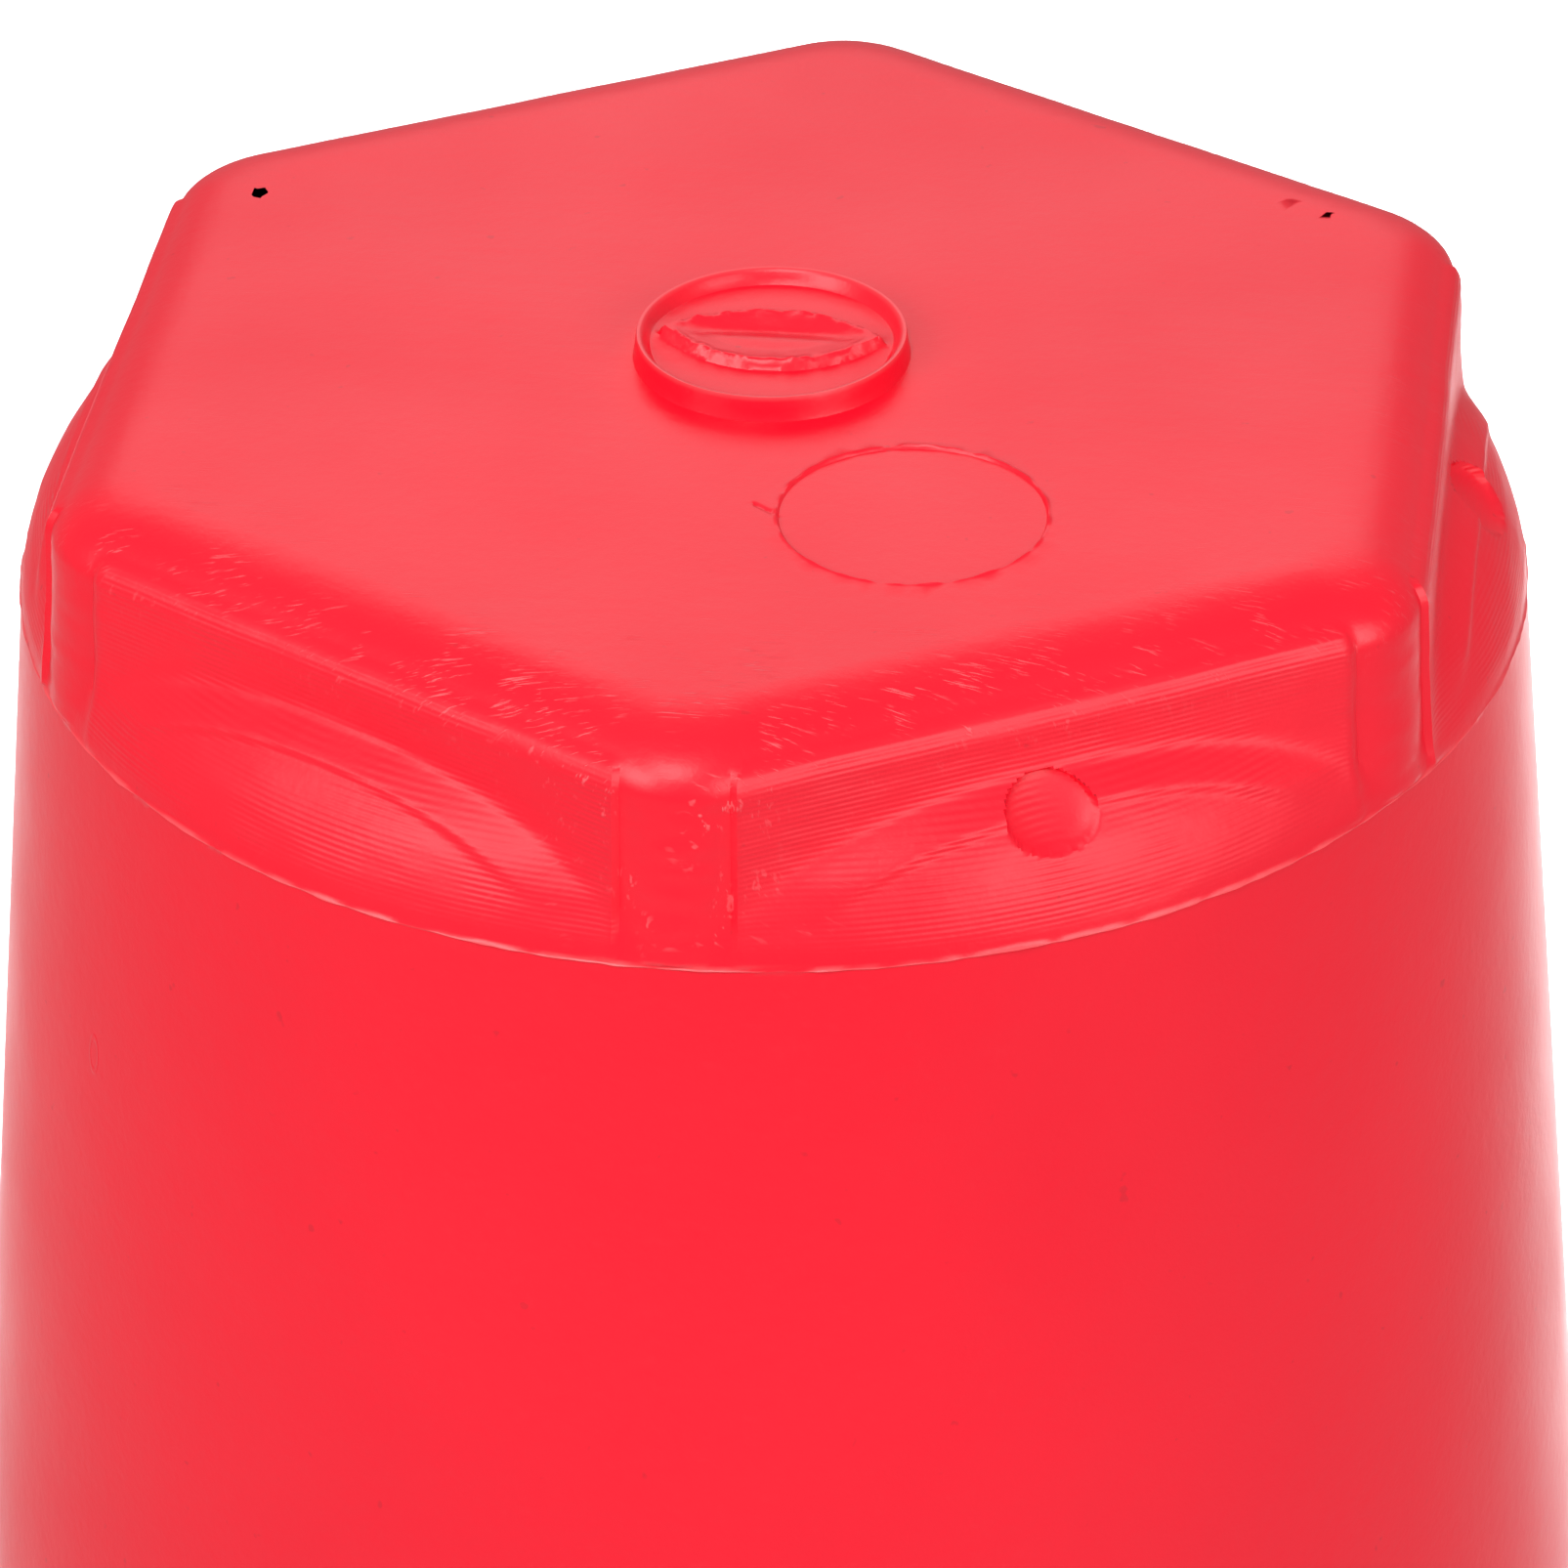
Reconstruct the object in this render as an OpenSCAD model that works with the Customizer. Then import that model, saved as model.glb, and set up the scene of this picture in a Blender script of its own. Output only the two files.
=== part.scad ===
// Water-filled barrier post: a hollow blow-moulded column with a hexagonal head and a
// hexagonal foot, filled through a screw cap and emptied through a screw plug.
// Two sleeves pass right through it and carry round rails from post to post.
// Origin: centre of the footprint, on the ground. +Z is up, the rails run along X.

/* [Column] */
// Overall height, from the ground to the rim on the head
total_h = 750; // [680:10:900]
// Radius at the shoulder, where the column meets the head
shoulder_r = 60; // [56:1:66]
// Half-angle of the column's taper, in degrees
taper = 5.2; // [4.5:0.1:6]
// Thickness of the moulded wall
wall = 3; // [2.5:0.5:4]

/* [Foot] */
// Half of the foot's size across its flats
foot_apothem = 190; // [170:1:230]
// How far the foot's blunt corners lie inside a sharp hexagon's corners
foot_corner_cut = 11.4; // [8:0.2:18]
// Height of the foot's corners, above which it slopes up to the column
foot_corner_h = 48; // [40:2:60]
// Height at which the foot's slope would meet the column's side
foot_top_z = 147; // [140:1:150]
// Radius of the hollow curve between the foot and the column
foot_fillet_r = 60; // [30:5:80]
// Radius of each rubber foot pad
pad_r = 24; // [16:1:28]
// Height of each rubber foot pad below the body
pad_h = 4; // [3:0.5:8]

/* [Head] */
// Height of the head above the shoulder
head_h = 18.2; // [15:0.2:24]
// How far the head's flats lie inside the shoulder
head_inset = 6.8; // [5:0.2:9]
// Radius of the head's upright corners
head_corner_r = 8.2; // [6:0.2:12]
// How far the head's top edge is rounded inwards
head_edge_w = 6; // [4:0.5:8]
// How far the head's top edge is rounded downwards
head_edge_d = 3; // [2:0.5:4]
// Radius of the raised rim on the head
rim_r = 10.6; // [9:0.2:13]
// Height of the raised rim on the head
rim_h = 2; // [1.5:0.5:3]

/* [Bands] */
// Height of the upper reflective band's lower edge
band_upper_z = 525; // [520:5:545]
// Height of the lower reflective band's lower edge
band_lower_z = 262; // [258:1:270]
// Width of each reflective band
band_w = 90; // [60:5:95]
// Thickness of each reflective band
band_t = 0.4; // [0.3:0.1:0.8]

/* [Rails] */
// Inner radius of the rail sleeves
sleeve_bore_r = 21.6; // [17.2:0.1:26]
// Wall thickness of the rail sleeves
sleeve_wall = 2.9; // [2:0.1:4]
// Height of the upper rail's axis
rail_upper_z = 400; // [396:1:404]
// Height of the lower rail's axis
rail_lower_z = 215; // [205:1:218]

/* [Filler] */
// Height of the filler's axis
filler_z = 472; // [468:1:478]
// Outer radius of the filler neck, without its thread
neck_r = 22.6; // [20:0.1:27.2]
// Distance that one turn moves the filler cap
filler_pitch = 4; // [3:0.5:5]

/* [Drain] */
// Height of the drain recess above the body's floor
drain_rise = 4; // [4:0.5:8]
// Room around the drain fitting inside the round recess that shields the plug
drain_room = 5; // [4:0.5:6]
// Depth of the round recess that shields the drain plug
drain_pocket_depth = 24; // [22:1:32]
// Radius of the drain plug's shank, without its thread
plug_r = 9.2; // [8:0.2:12]
// Distance that one turn moves the drain plug
drain_pitch = 3; // [2.5:0.5:4]

/* [Hidden] */
$fn = 96;
// Play between pieces that push or screw together
play = 0.1;
// Play between a sealing ring and the faces that it seals
seal_play = 0.02;
// Overlap that joins or cuts solids cleanly
eps = 0.5;
head_top_z = total_h - rim_h;
shoulder_z = head_top_z - head_h;
head_apothem = shoulder_r - head_inset;
body_floor_z = pad_h;

// Foot: the slope runs from its blunt corners to the column's side
foot_corner_r = foot_apothem / cos(30) - foot_corner_cut;
fillet_steps = 12;
foot_slope = atan(
    (foot_top_z - body_floor_z - foot_corner_h) / (foot_corner_r - column_r(foot_top_z))
);

// Shoulder dome: a quarter-round that starts just below the shoulder, a hair inside it
dome_r = 14.5;
dome_drop = 1.5;
dome_step = 0.1;
dome_centre_r = shoulder_r - dome_step - sqrt(dome_r * dome_r - dome_drop * dome_drop);
// Depth that the head reaches down inside the column's outline
head_root = 4;
// Thin line left at the shoulder where the mould's two parts meet
flash_out = 0.4;
flash_t = 0.3;
// Witness circle on the head, left by a round mould insert
insert_r = 10.3;
insert_at = 27.4;
insert_azimuth = -60;
insert_groove = 0.3;
// Dimples in two of the head's faces
dimple_r = 3.5;
dimple_depth = 0.9;
dimple_h = 7;
dimple_azimuths = [-60, 0];

// Foot pads stand under the six corners
pad_at = foot_apothem - 44;
stud_r = 5;
stud_len = 9;
socket_wall = 3;

// Flat bosses on the column, which the filler and the sleeves pass through
boss_out = 8;
boss_wall = 3;
sleeve_r = sleeve_bore_r + sleeve_wall;
grommet_lip_w = 4;
grommet_lip_t = 2.5;
grommet_web = 3;
rail_hole_r = sleeve_r + grommet_web;
grommet_r = rail_hole_r + grommet_lip_w;
rail_boss_r = grommet_r + boss_wall + 3;

neck_wall = 3;
neck_bore_r = neck_r - neck_wall;
neck_h = 18;
neck_flange_r = neck_r + 9;
neck_flange_t = 3;
neck_tail = 5;
filler_boss_r = neck_flange_r + 6.4;
ridge_h = 1.4;
ridge_gap = 0.4;
cap_bore_r = neck_r + ridge_h + ridge_gap;
cap_r = cap_bore_r + 4;
cap_top = 3.5;
cap_skirt_gap = 1;
cap_ribs = 24;
gasket_t = 2;
gasket_w = 4;

drain_x = -foot_apothem + drain_pocket_depth;
drain_ridge_h = 1;
drain_bore_r = plug_r + drain_ridge_h + ridge_gap;
fitting_r = drain_bore_r + 3.4;
fitting_flange_r = fitting_r + 6;
fitting_flange_t = 3;
fitting_tail = 15;
drain_pocket_r = fitting_flange_r + drain_room;
drain_z = body_floor_z + drain_rise + drain_pocket_r;
oring_r = 1.3;
plug_head_r = drain_bore_r + 4.4;
plug_head_t = 5;
plug_len = 15;
plug_wing_h = 12;
plug_wing_t = 5;

// Outer radius of the column at height z
function column_r(z) = shoulder_r + (shoulder_z - z) * tan(taper);

// Distance from the origin to the sloping top of the foot, measured square to the slope
function slope_reach() =
    foot_corner_r * sin(foot_slope) + (body_floor_z + foot_corner_h) * cos(foot_slope);

// Where the column's side meets the foot's slope, both moved inwards by inset
function knee(inset) =
    let (
        side_at_ground = shoulder_r + shoulder_z * tan(taper) - inset / cos(taper),
        reach = slope_reach() - inset,
        z = (reach - side_at_ground * sin(foot_slope))
            / (cos(foot_slope) - tan(taper) * sin(foot_slope))
    )
    [side_at_ground - z * tan(taper), z];

// Upright hexagonal prism from the ground, with flats that face +X and -X
module hex_prism(apothem, height) {
    linear_extrude(height = height)
        polygon([for (k = [0:5]) apothem / cos(30) * [cos(30 + 60 * k), sin(30 + 60 * k)]]);
}

// Half-section of the column and the foot's slope, moved inwards by inset
module column_section(inset) {
    knee_at = knee(inset);
    fillet_r = foot_fillet_r + inset;
    along = fillet_r * tan((90 - foot_slope - taper) / 2);
    centre = knee_at + along * [-sin(taper), cos(taper)] + fillet_r * [cos(taper), sin(taper)];
    bottom = body_floor_z + inset;
    corner_r = foot_corner_r - inset;
    corner_z = knee_at[1] - (corner_r - knee_at[0]) * tan(foot_slope);
    hollow_curve = [
        for (i = [0:fillet_steps])
            let (a = 90 - foot_slope - i * (90 - foot_slope - taper) / fillet_steps)
                centre - fillet_r * [cos(a), sin(a)]
    ];
    polygon(concat(
        [[0, bottom], [corner_r, bottom], [corner_r, corner_z]],
        hollow_curve,
        [[shoulder_r - inset / cos(taper), shoulder_z], [0, shoulder_z]]
    ));
}

// Column between the ground and the shoulder, with the foot, moved inwards by inset
module column_solid(inset) {
    intersection() {
        rotate_extrude()
            column_section(inset);
        hex_prism(foot_apothem - inset, shoulder_z + 1);
    }
}

// Dome from just below the shoulder up into the head, moved inwards by inset
module dome_solid(inset) {
    translate([0, 0, shoulder_z - dome_drop])
        rotate_extrude() {
            square([dome_centre_r, dome_r - inset]);
            translate([dome_centre_r, 0])
                intersection() {
                    circle(dome_r - inset);
                    square(dome_r);
                }
        }
}

// Hexagonal head with rounded corners and a rounded top edge
module head_solid() {
    steps = 4;
    corner_at = (head_apothem - head_corner_r) / cos(30);
    hull()
        for (k = [0:5])
            rotate(30 + 60 * k) {
                translate([corner_at, 0, shoulder_z - head_root])
                    cylinder(r = head_corner_r, h = 1, $fn = 32);
                for (i = [0:steps])
                    let (a = 90 * i / steps)
                        translate([
                            corner_at - head_edge_w * (1 - cos(a)) / cos(30),
                            0,
                            head_top_z - head_edge_d * (1 - sin(a)) - 0.1
                        ])
                            cylinder(r = head_corner_r, h = 0.1, $fn = 32);
            }
}

// Hollow inside the head
module head_hollow() {
    translate([0, 0, shoulder_z - 1])
        cylinder(r = head_apothem - wall - 1, h = head_h - wall + 1);
}

// Cylinder that lies along +Y at height z, from y = 0
module along_y(r, z, length) {
    translate([0, 0, z])
        rotate([-90, 0, 0])
            cylinder(r = r, h = length);
}

// Cylinder that lies along X at height z, centred on the axis
module across_x(r, z, length) {
    translate([0, 0, z])
        rotate([0, 90, 0])
            cylinder(r = r, h = length, center = true);
}

// Distance from the axis to the flat face of a boss at height z
function boss_face(z) = column_r(z) + boss_out;

// Screw thread ridge around Z; a negative height makes it point inwards
module thread_ridge(root_r, height, pitch, turns, z0, widths) {
    per_turn = 36;
    count = per_turn * turns;
    root = root_r - sign(height) * 0.3;
    crest = root_r + height;
    profile = [
        [root, -widths[0] / 2], [root, widths[0] / 2],
        [crest, widths[1] / 2], [crest, -widths[1] / 2]
    ];
    points = [
        for (i = [0:count])
            for (p = profile)
                [p[0] * cos(360 * i / per_turn),
                 p[0] * sin(360 * i / per_turn),
                 z0 + pitch * i / per_turn + p[1]]
    ];
    sides = [
        for (i = [0:count - 1])
            for (j = [0:3])
                let (k = (j + 1) % 4)
                for (face = [
                    [4 * i + j, 4 * i + 4 + j, 4 * i + 4 + k],
                    [4 * i + j, 4 * i + 4 + k, 4 * i + k]
                ])
                    height > 0 ? face : [face[2], face[1], face[0]]
    ];
    first = [0, 1, 2, 3];
    last = [for (j = [3:-1:0]) 4 * count + j];
    ends = height > 0 ? [first, last] : [[3, 2, 1, 0], [for (j = [0:3]) 4 * count + j]];
    polyhedron(points = points, faces = concat(sides, ends), convexity = 6);
}

// Shallow groove around the column that holds a reflective band
module band_recess(z) {
    depth = band_t + play;
    rotate_extrude()
        polygon([
            [column_r(z) - depth, z],
            [column_r(z) + eps, z],
            [column_r(z + band_w) + eps, z + band_w],
            [column_r(z + band_w) - depth, z + band_w]
        ]);
}

// Reflective sheeting wrapped around the column
module band(z) {
    low = z + play;
    high = z + band_w - play;
    rotate_extrude()
        polygon([
            [column_r(low) - band_t, low],
            [column_r(low), low],
            [column_r(high), high],
            [column_r(high) - band_t, high]
        ]);
}

// Bosses that stand out of the column, as solids
module bosses() {
    along_y(filler_boss_r, filler_z, boss_face(filler_z));
    for (z = [rail_upper_z, rail_lower_z])
        across_x(rail_boss_r, z, 2 * boss_face(z));
}

// Hollow inside each boss
module boss_hollows() {
    along_y(filler_boss_r - boss_wall, filler_z, boss_face(filler_z) - wall);
    for (z = [rail_upper_z, rail_lower_z])
        across_x(rail_boss_r - boss_wall, z, 2 * (boss_face(z) - wall));
}

// Round recess for the drain plug, grown outwards by margin
module drain_pocket(margin) {
    translate([-foot_apothem - eps, 0, drain_z])
        rotate([0, 90, 0])
            cylinder(r = drain_pocket_r + margin, h = drain_pocket_depth + margin + eps);
}

// Marks that the mould leaves on the head: insert circle, dimples and the sealed neck
module head_marks() {
    rotate(insert_azimuth)
        translate([insert_at, 0, head_top_z - insert_groove])
            difference() {
                cylinder(r = insert_r, h = eps + insert_groove);
                translate([0, 0, -eps])
                    cylinder(r = insert_r - insert_groove, h = 3 * eps);
            }
    for (azimuth = dimple_azimuths)
        rotate(azimuth)
            translate([head_apothem - dimple_depth, 0, shoulder_z + dimple_h])
                rotate([0, 90, 0])
                    cylinder(r1 = dimple_r - 1, r2 = dimple_r, h = dimple_depth + 0.01);
}

// Raised rim on the head around the sealed and pinched blowing neck
module rim() {
    translate([0, 0, head_top_z - 1])
        difference() {
            cylinder(r = rim_r, h = rim_h + 1);
            intersection_for (side = [-1, 1])
                translate([0, side * rim_r * 0.7, 1.4])
                    cylinder(r = rim_r * 1.1, h = rim_h);
        }
}

// One-piece moulded body
module body_shell() {
    color([0.93, 0.13, 0.2])
    difference() {
        union() {
            column_solid(0);
            dome_solid(0);
            head_solid();
            rim();
            bosses();
            translate([0, 0, shoulder_z - flash_t / 2])
                cylinder(r = shoulder_r + flash_out, h = flash_t);
        }
        difference() {
            union() {
                column_solid(wall);
                dome_solid(wall);
                head_hollow();
                boss_hollows();
            }
            pad_places()
                translate([0, 0, body_floor_z])
                    cylinder(r = stud_r + socket_wall, h = stud_len + socket_wall);
            drain_pocket(wall);
        }
        drain_pocket(0);
        pad_places()
            translate([0, 0, body_floor_z - eps])
                cylinder(r = stud_r, h = stud_len + eps);
        along_y(neck_r - 0.6, filler_z, boss_face(filler_z) + eps);
        for (z = [rail_upper_z, rail_lower_z])
            across_x(rail_hole_r, z, 2 * boss_face(z) + 2 * eps);
        translate([drain_x - eps, 0, drain_z])
            rotate([0, 90, 0])
                cylinder(r = fitting_r, h = wall + 2 * eps);
        band_recess(band_upper_z);
        band_recess(band_lower_z);
        head_marks();
    }
}

// Places its children under each corner of the foot
module pad_places() {
    for (k = [0:5])
        pad_place(k + 1)
            children();
}

module pad_place(number) {
    rotate(30 + 60 * (number - 1))
        translate([pad_at, 0, 0])
            children();
}

// Rubber foot pad with a stud that presses into the body
module foot_pad(number) {
    color([0.08, 0.08, 0.08])
    pad_place(number) {
        cylinder(r = pad_r, h = pad_h);
        cylinder(r = stud_r - play, h = pad_h + stud_len - 1);
    }
}

// Threaded neck welded into the filler boss
module filler_neck() {
    color([0.93, 0.13, 0.2])
    translate([0, boss_face(filler_z), filler_z])
        rotate([-90, 0, 0])
            difference() {
                union() {
                    cylinder(r = neck_flange_r, h = neck_flange_t);
                    cylinder(r = neck_r, h = neck_h);
                    translate([0, 0, -wall - neck_tail])
                        cylinder(r = neck_r - 0.6 - play, h = wall + neck_tail + 1);
                    thread_ridge(neck_r, ridge_h, filler_pitch, 1.5, 7, [2.2, 1.2]);
                }
                translate([0, 0, -wall - neck_tail - eps])
                    cylinder(r = neck_bore_r, h = neck_h + wall + neck_tail + 2 * eps);
            }
}

// Flat sealing ring inside the cap
module filler_gasket() {
    color([0.1, 0.1, 0.1])
    translate([0, boss_face(filler_z) + neck_h, filler_z])
        rotate([-90, 0, 0])
            difference() {
                translate([0, 0, seal_play])
                    cylinder(r = neck_bore_r + gasket_w, h = gasket_t - 2 * seal_play);
                translate([0, 0, -eps])
                    cylinder(r = neck_bore_r, h = gasket_t + 2 * eps);
            }
}

// Screw cap of the filler, with ribs for the hand
module filler_cap() {
    low = neck_flange_t + cap_skirt_gap;
    inside_top = neck_h + gasket_t;
    color([0.12, 0.12, 0.13])
    translate([0, boss_face(filler_z), filler_z])
        rotate([-90, 0, 0]) {
            difference() {
                union() {
                    translate([0, 0, low])
                        cylinder(r = cap_r, h = inside_top + cap_top - low);
                    for (k = [0:cap_ribs - 1])
                        rotate(k * 360 / cap_ribs)
                            translate([cap_r - 0.5, -1, low + 1])
                                cube([1.7, 2, inside_top + cap_top - low - 2]);
                }
                translate([0, 0, low - eps])
                    cylinder(r = cap_bore_r, h = inside_top - low + eps);
            }
            thread_ridge(cap_bore_r, -ridge_h, filler_pitch, 1.25, 9, [2, 1]);
        }
}

// Threaded fitting welded into the foot for the drain plug
module drain_fitting() {
    color([0.12, 0.12, 0.13])
    translate([drain_x, 0, drain_z])
        rotate([0, -90, 0]) {
            difference() {
                union() {
                    cylinder(r = fitting_flange_r, h = fitting_flange_t);
                    translate([0, 0, -fitting_tail])
                        cylinder(r = fitting_r - play, h = fitting_tail + 1);
                }
                translate([0, 0, -fitting_tail - eps])
                    cylinder(r = drain_bore_r, h = fitting_tail + fitting_flange_t + 2 * eps);
            }
            thread_ridge(drain_bore_r, -drain_ridge_h, drain_pitch, 1.5, -8, [1.6, 0.8]);
        }
}

// Sealing ring under the drain plug's head
module drain_oring() {
    color([0.1, 0.1, 0.1])
    translate([drain_x, 0, drain_z])
        rotate([0, -90, 0])
            translate([0, 0, fitting_flange_t + oring_r])
                rotate_extrude()
                    translate([plug_head_r - oring_r - 0.6, 0])
                        circle(oring_r - seal_play);
}

// Drain plug with two wings for the fingers
module drain_plug() {
    seat = fitting_flange_t + 2 * oring_r;
    color([0.9, 0.65, 0.05])
    translate([drain_x, 0, drain_z])
        rotate([0, -90, 0]) {
            translate([0, 0, seat])
                cylinder(r = plug_head_r, h = plug_head_t);
            translate([0, 0, seat - plug_len])
                cylinder(r = plug_r, h = plug_len + 1);
            translate([-plug_wing_t / 2, -plug_head_r + 1, seat + plug_head_t - 1])
                cube([plug_wing_t, 2 * plug_head_r - 2, plug_wing_h]);
            thread_ridge(plug_r, drain_ridge_h, drain_pitch, 1.5, -6.5, [1.6, 0.8]);
        }
}

// Tube that carries a rail through the body
module rail_sleeve(z) {
    color([0.1, 0.1, 0.11])
    difference() {
        across_x(sleeve_r, z, 2 * (boss_face(z) + grommet_lip_t));
        across_x(sleeve_bore_r, z, 2 * (boss_face(z) + grommet_lip_t + eps));
    }
}

// Rubber ring that seals a sleeve into the wall of its boss; side is -1 or 1
module grommet(side, z) {
    color([0.08, 0.08, 0.08])
    translate([side * boss_face(z), 0, z])
        rotate([0, side * 90, 0])
            difference() {
                union() {
                    cylinder(r = grommet_r, h = grommet_lip_t);
                    translate([0, 0, -wall - 1])
                        cylinder(r = rail_hole_r - play, h = wall + 2);
                    translate([0, 0, -wall - play - grommet_lip_t])
                        cylinder(r = grommet_r, h = grommet_lip_t);
                }
                translate([0, 0, -wall - grommet_lip_t - eps])
                    cylinder(r = sleeve_r + play, h = wall + 2 * grommet_lip_t + 2 * eps);
            }
}

module band_upper() {
    color([0.95, 0.95, 0.95])
        band(band_upper_z);
}

module band_lower() {
    color([0.95, 0.95, 0.95])
        band(band_lower_z);
}

body_shell();
filler_neck();
filler_gasket();
filler_cap();
drain_fitting();
drain_oring();
drain_plug();
band_upper();
band_lower();
rail_sleeve(rail_upper_z);  // rail_sleeve_upper
rail_sleeve(rail_lower_z);  // rail_sleeve_lower
grommet(-1, rail_upper_z);  // grommet_upper_left
grommet(1, rail_upper_z);  // grommet_upper_right
grommet(-1, rail_lower_z);  // grommet_lower_left
grommet(1, rail_lower_z);  // grommet_lower_right
for (number = [1:6])
    foot_pad(number);
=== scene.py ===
import math

import bmesh
import bpy
from bpy.props import FloatProperty, FloatVectorProperty, PointerProperty
from mathutils import Matrix, Vector, noise
from mathutils.geometry import delaunay_2d_cdt


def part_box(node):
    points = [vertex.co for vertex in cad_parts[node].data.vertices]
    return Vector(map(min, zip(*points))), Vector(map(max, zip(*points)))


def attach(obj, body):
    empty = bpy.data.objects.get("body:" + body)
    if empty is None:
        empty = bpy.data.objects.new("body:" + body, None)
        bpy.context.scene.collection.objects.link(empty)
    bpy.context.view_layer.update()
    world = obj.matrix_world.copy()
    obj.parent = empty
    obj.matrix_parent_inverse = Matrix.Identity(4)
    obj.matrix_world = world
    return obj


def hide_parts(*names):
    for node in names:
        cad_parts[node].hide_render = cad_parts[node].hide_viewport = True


bl_info = {
    "name": "Water Filled Barrier Post",
    "version": (1, 0, 0),
    "blender": (4, 5, 0),
    "location": "View3D > Sidebar > Barrier Post",
    "description": "Builds the moulded body, screw caps, seals, bands and pads of a barrier post",
    "category": "Add Mesh",
}

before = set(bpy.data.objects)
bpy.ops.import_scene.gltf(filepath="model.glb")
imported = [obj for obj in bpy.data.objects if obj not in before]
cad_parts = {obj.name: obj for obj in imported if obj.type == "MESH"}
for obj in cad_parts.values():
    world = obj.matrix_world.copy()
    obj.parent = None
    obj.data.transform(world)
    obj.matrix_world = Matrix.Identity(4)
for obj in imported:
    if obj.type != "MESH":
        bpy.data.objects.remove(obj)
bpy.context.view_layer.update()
MM = 0.001
TAU = 2 * math.pi
BODY_LOW, BODY_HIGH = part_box("body_shell")
RIM_RISE = 2.0
RIM_TOP = BODY_HIGH.z / MM
HEAD_TOP = RIM_TOP - RIM_RISE
BODY_BOTTOM = BODY_LOW.z / MM
FOOT_APOTHEM = BODY_HIGH.x / MM
FOOT_CORNER = BODY_HIGH.y / MM
FILLER_BOSS_R = 38.0
RAIL_BOSS_R = 37.5
DRAIN_RECESS_R = 25.0
NECK_TAIL_R = 22.0
FITTING_TAIL_R = 14.0
SLEEVE_HOLE_R = 27.5
STUD_R = 5.0
STUD_BOSS_R = 8.0
PAD_INSET = 44.0


# ---------------------------------------------------------------- sizes and colours


class BarrierBodySizes(bpy.types.PropertyGroup):
    """Sizes of the moulded body, in millimetres."""

    shoulder_r: FloatProperty(
        name="Shoulder radius", description="Radius at the parting line", default=60.0,
    )
    taper: FloatProperty(name="Taper", description="Half-angle of the column, in degrees", default=5.2)
    wall: FloatProperty(name="Wall", description="Thickness of the moulded wall", default=3.0)
    foot_top: FloatProperty(
        name="Foot top", description="Height where the slope would meet the column", default=147.0,
    )
    foot_corner_h: FloatProperty(
        name="Foot corner", description="Height of the foot's corners", default=48.0,
    )
    foot_fillet_r: FloatProperty(
        name="Foot fillet", description="Radius of the hollow curve at the column", default=60.0,
    )
    edge_r: FloatProperty(name="Foot edge", description="Rounding of the foot's bottom edge", default=5.0)
    rail_upper: FloatProperty(name="Upper rail", description="Height of the upper rail", default=400.0)
    rail_lower: FloatProperty(name="Lower rail", description="Height of the lower rail", default=215.0)
    filler: FloatProperty(name="Filler", description="Height of the filler", default=472.0)
    drain: FloatProperty(name="Drain", description="Height of the drain", default=33.0)
    drain_depth: FloatProperty(name="Drain recess", description="Depth of the drain's recess", default=24.0)
    band_upper: FloatProperty(
        name="Upper band", description="Height of the upper band's lower edge", default=525.0,
    )
    band_lower: FloatProperty(
        name="Lower band", description="Height of the lower band's lower edge", default=262.0,
    )
    band_width: FloatProperty(name="Band width", description="Width of each reflective band", default=90.0)
    blend: FloatProperty(
        name="Foot blend", description="Softness of the edges between flats and slope", default=7.0,
    )
    boss_out: FloatProperty(
        name="Boss", description="How far the bosses stand out of the column", default=8.0,
    )
    join_drop: FloatProperty(
        name="Join", description="Depth below the shoulder where head and column mesh meet", default=3.0,
    )


class BarrierHeadSizes(bpy.types.PropertyGroup):
    """Sizes of the hexagonal head, in millimetres."""

    height: FloatProperty(name="Height", description="Head height above the parting line", default=18.4)
    apothem_low: FloatProperty(
        name="Low apothem", description="Half of the size across flats at the bottom", default=53.3,
    )
    apothem_top: FloatProperty(
        name="Top apothem", description="Half of the size across flats at the edge", default=52.6,
    )
    corner_r: FloatProperty(
        name="Corner radius", description="Radius of the head's upright corners", default=8.2,
    )
    edge_w: FloatProperty(name="Edge width", description="Width of the rounded top edge", default=7.4)
    edge_d: FloatProperty(name="Edge depth", description="Depth of the rounded top edge", default=4.6)
    dome_r: FloatProperty(name="Dome radius", description="Radius of the shoulder's curve", default=14.5)
    dome_drop: FloatProperty(
        name="Dome drop", description="How far the curve's centre lies below the line", default=1.5,
    )
    pad_half: FloatProperty(
        name="Pad half-length", description="Half-length of the pads on the flats", default=25.6,
    )
    pad_rise: FloatProperty(name="Pad rise", description="How far the pads stand proud", default=0.6)
    ledge: FloatProperty(
        name="Ledge", description="Height of the lip between the curve and a pad", default=0.5,
    )
    dimple_r: FloatProperty(name="Dimple radius", description="Radius of the two dimples", default=3.6)
    dimple_depth: FloatProperty(name="Dimple depth", description="Depth of the two dimples", default=1.5)
    dimple_h: FloatProperty(
        name="Dimple height", description="Height of the dimples above the line", default=8.5,
    )
    insert_r: FloatProperty(
        name="Insert radius", description="Radius of the mould insert's mark", default=10.3,
    )
    insert_at: FloatProperty(
        name="Insert place", description="Distance of the insert's mark from the axis", default=27.4,
    )
    insert_azimuth: FloatProperty(
        name="Insert azimuth", description="Direction of the insert's mark, in degrees", default=-60.0,
    )
    rim_r: FloatProperty(name="Rim radius", description="Outer radius of the raised rim", default=10.7)
    pinch_half: FloatProperty(
        name="Pinch length", description="Half-length of the pinched neck", default=8.8,
    )
    pinch_width: FloatProperty(
        name="Pinch width", description="Half-width of the pinched neck", default=4.3,
    )


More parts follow.
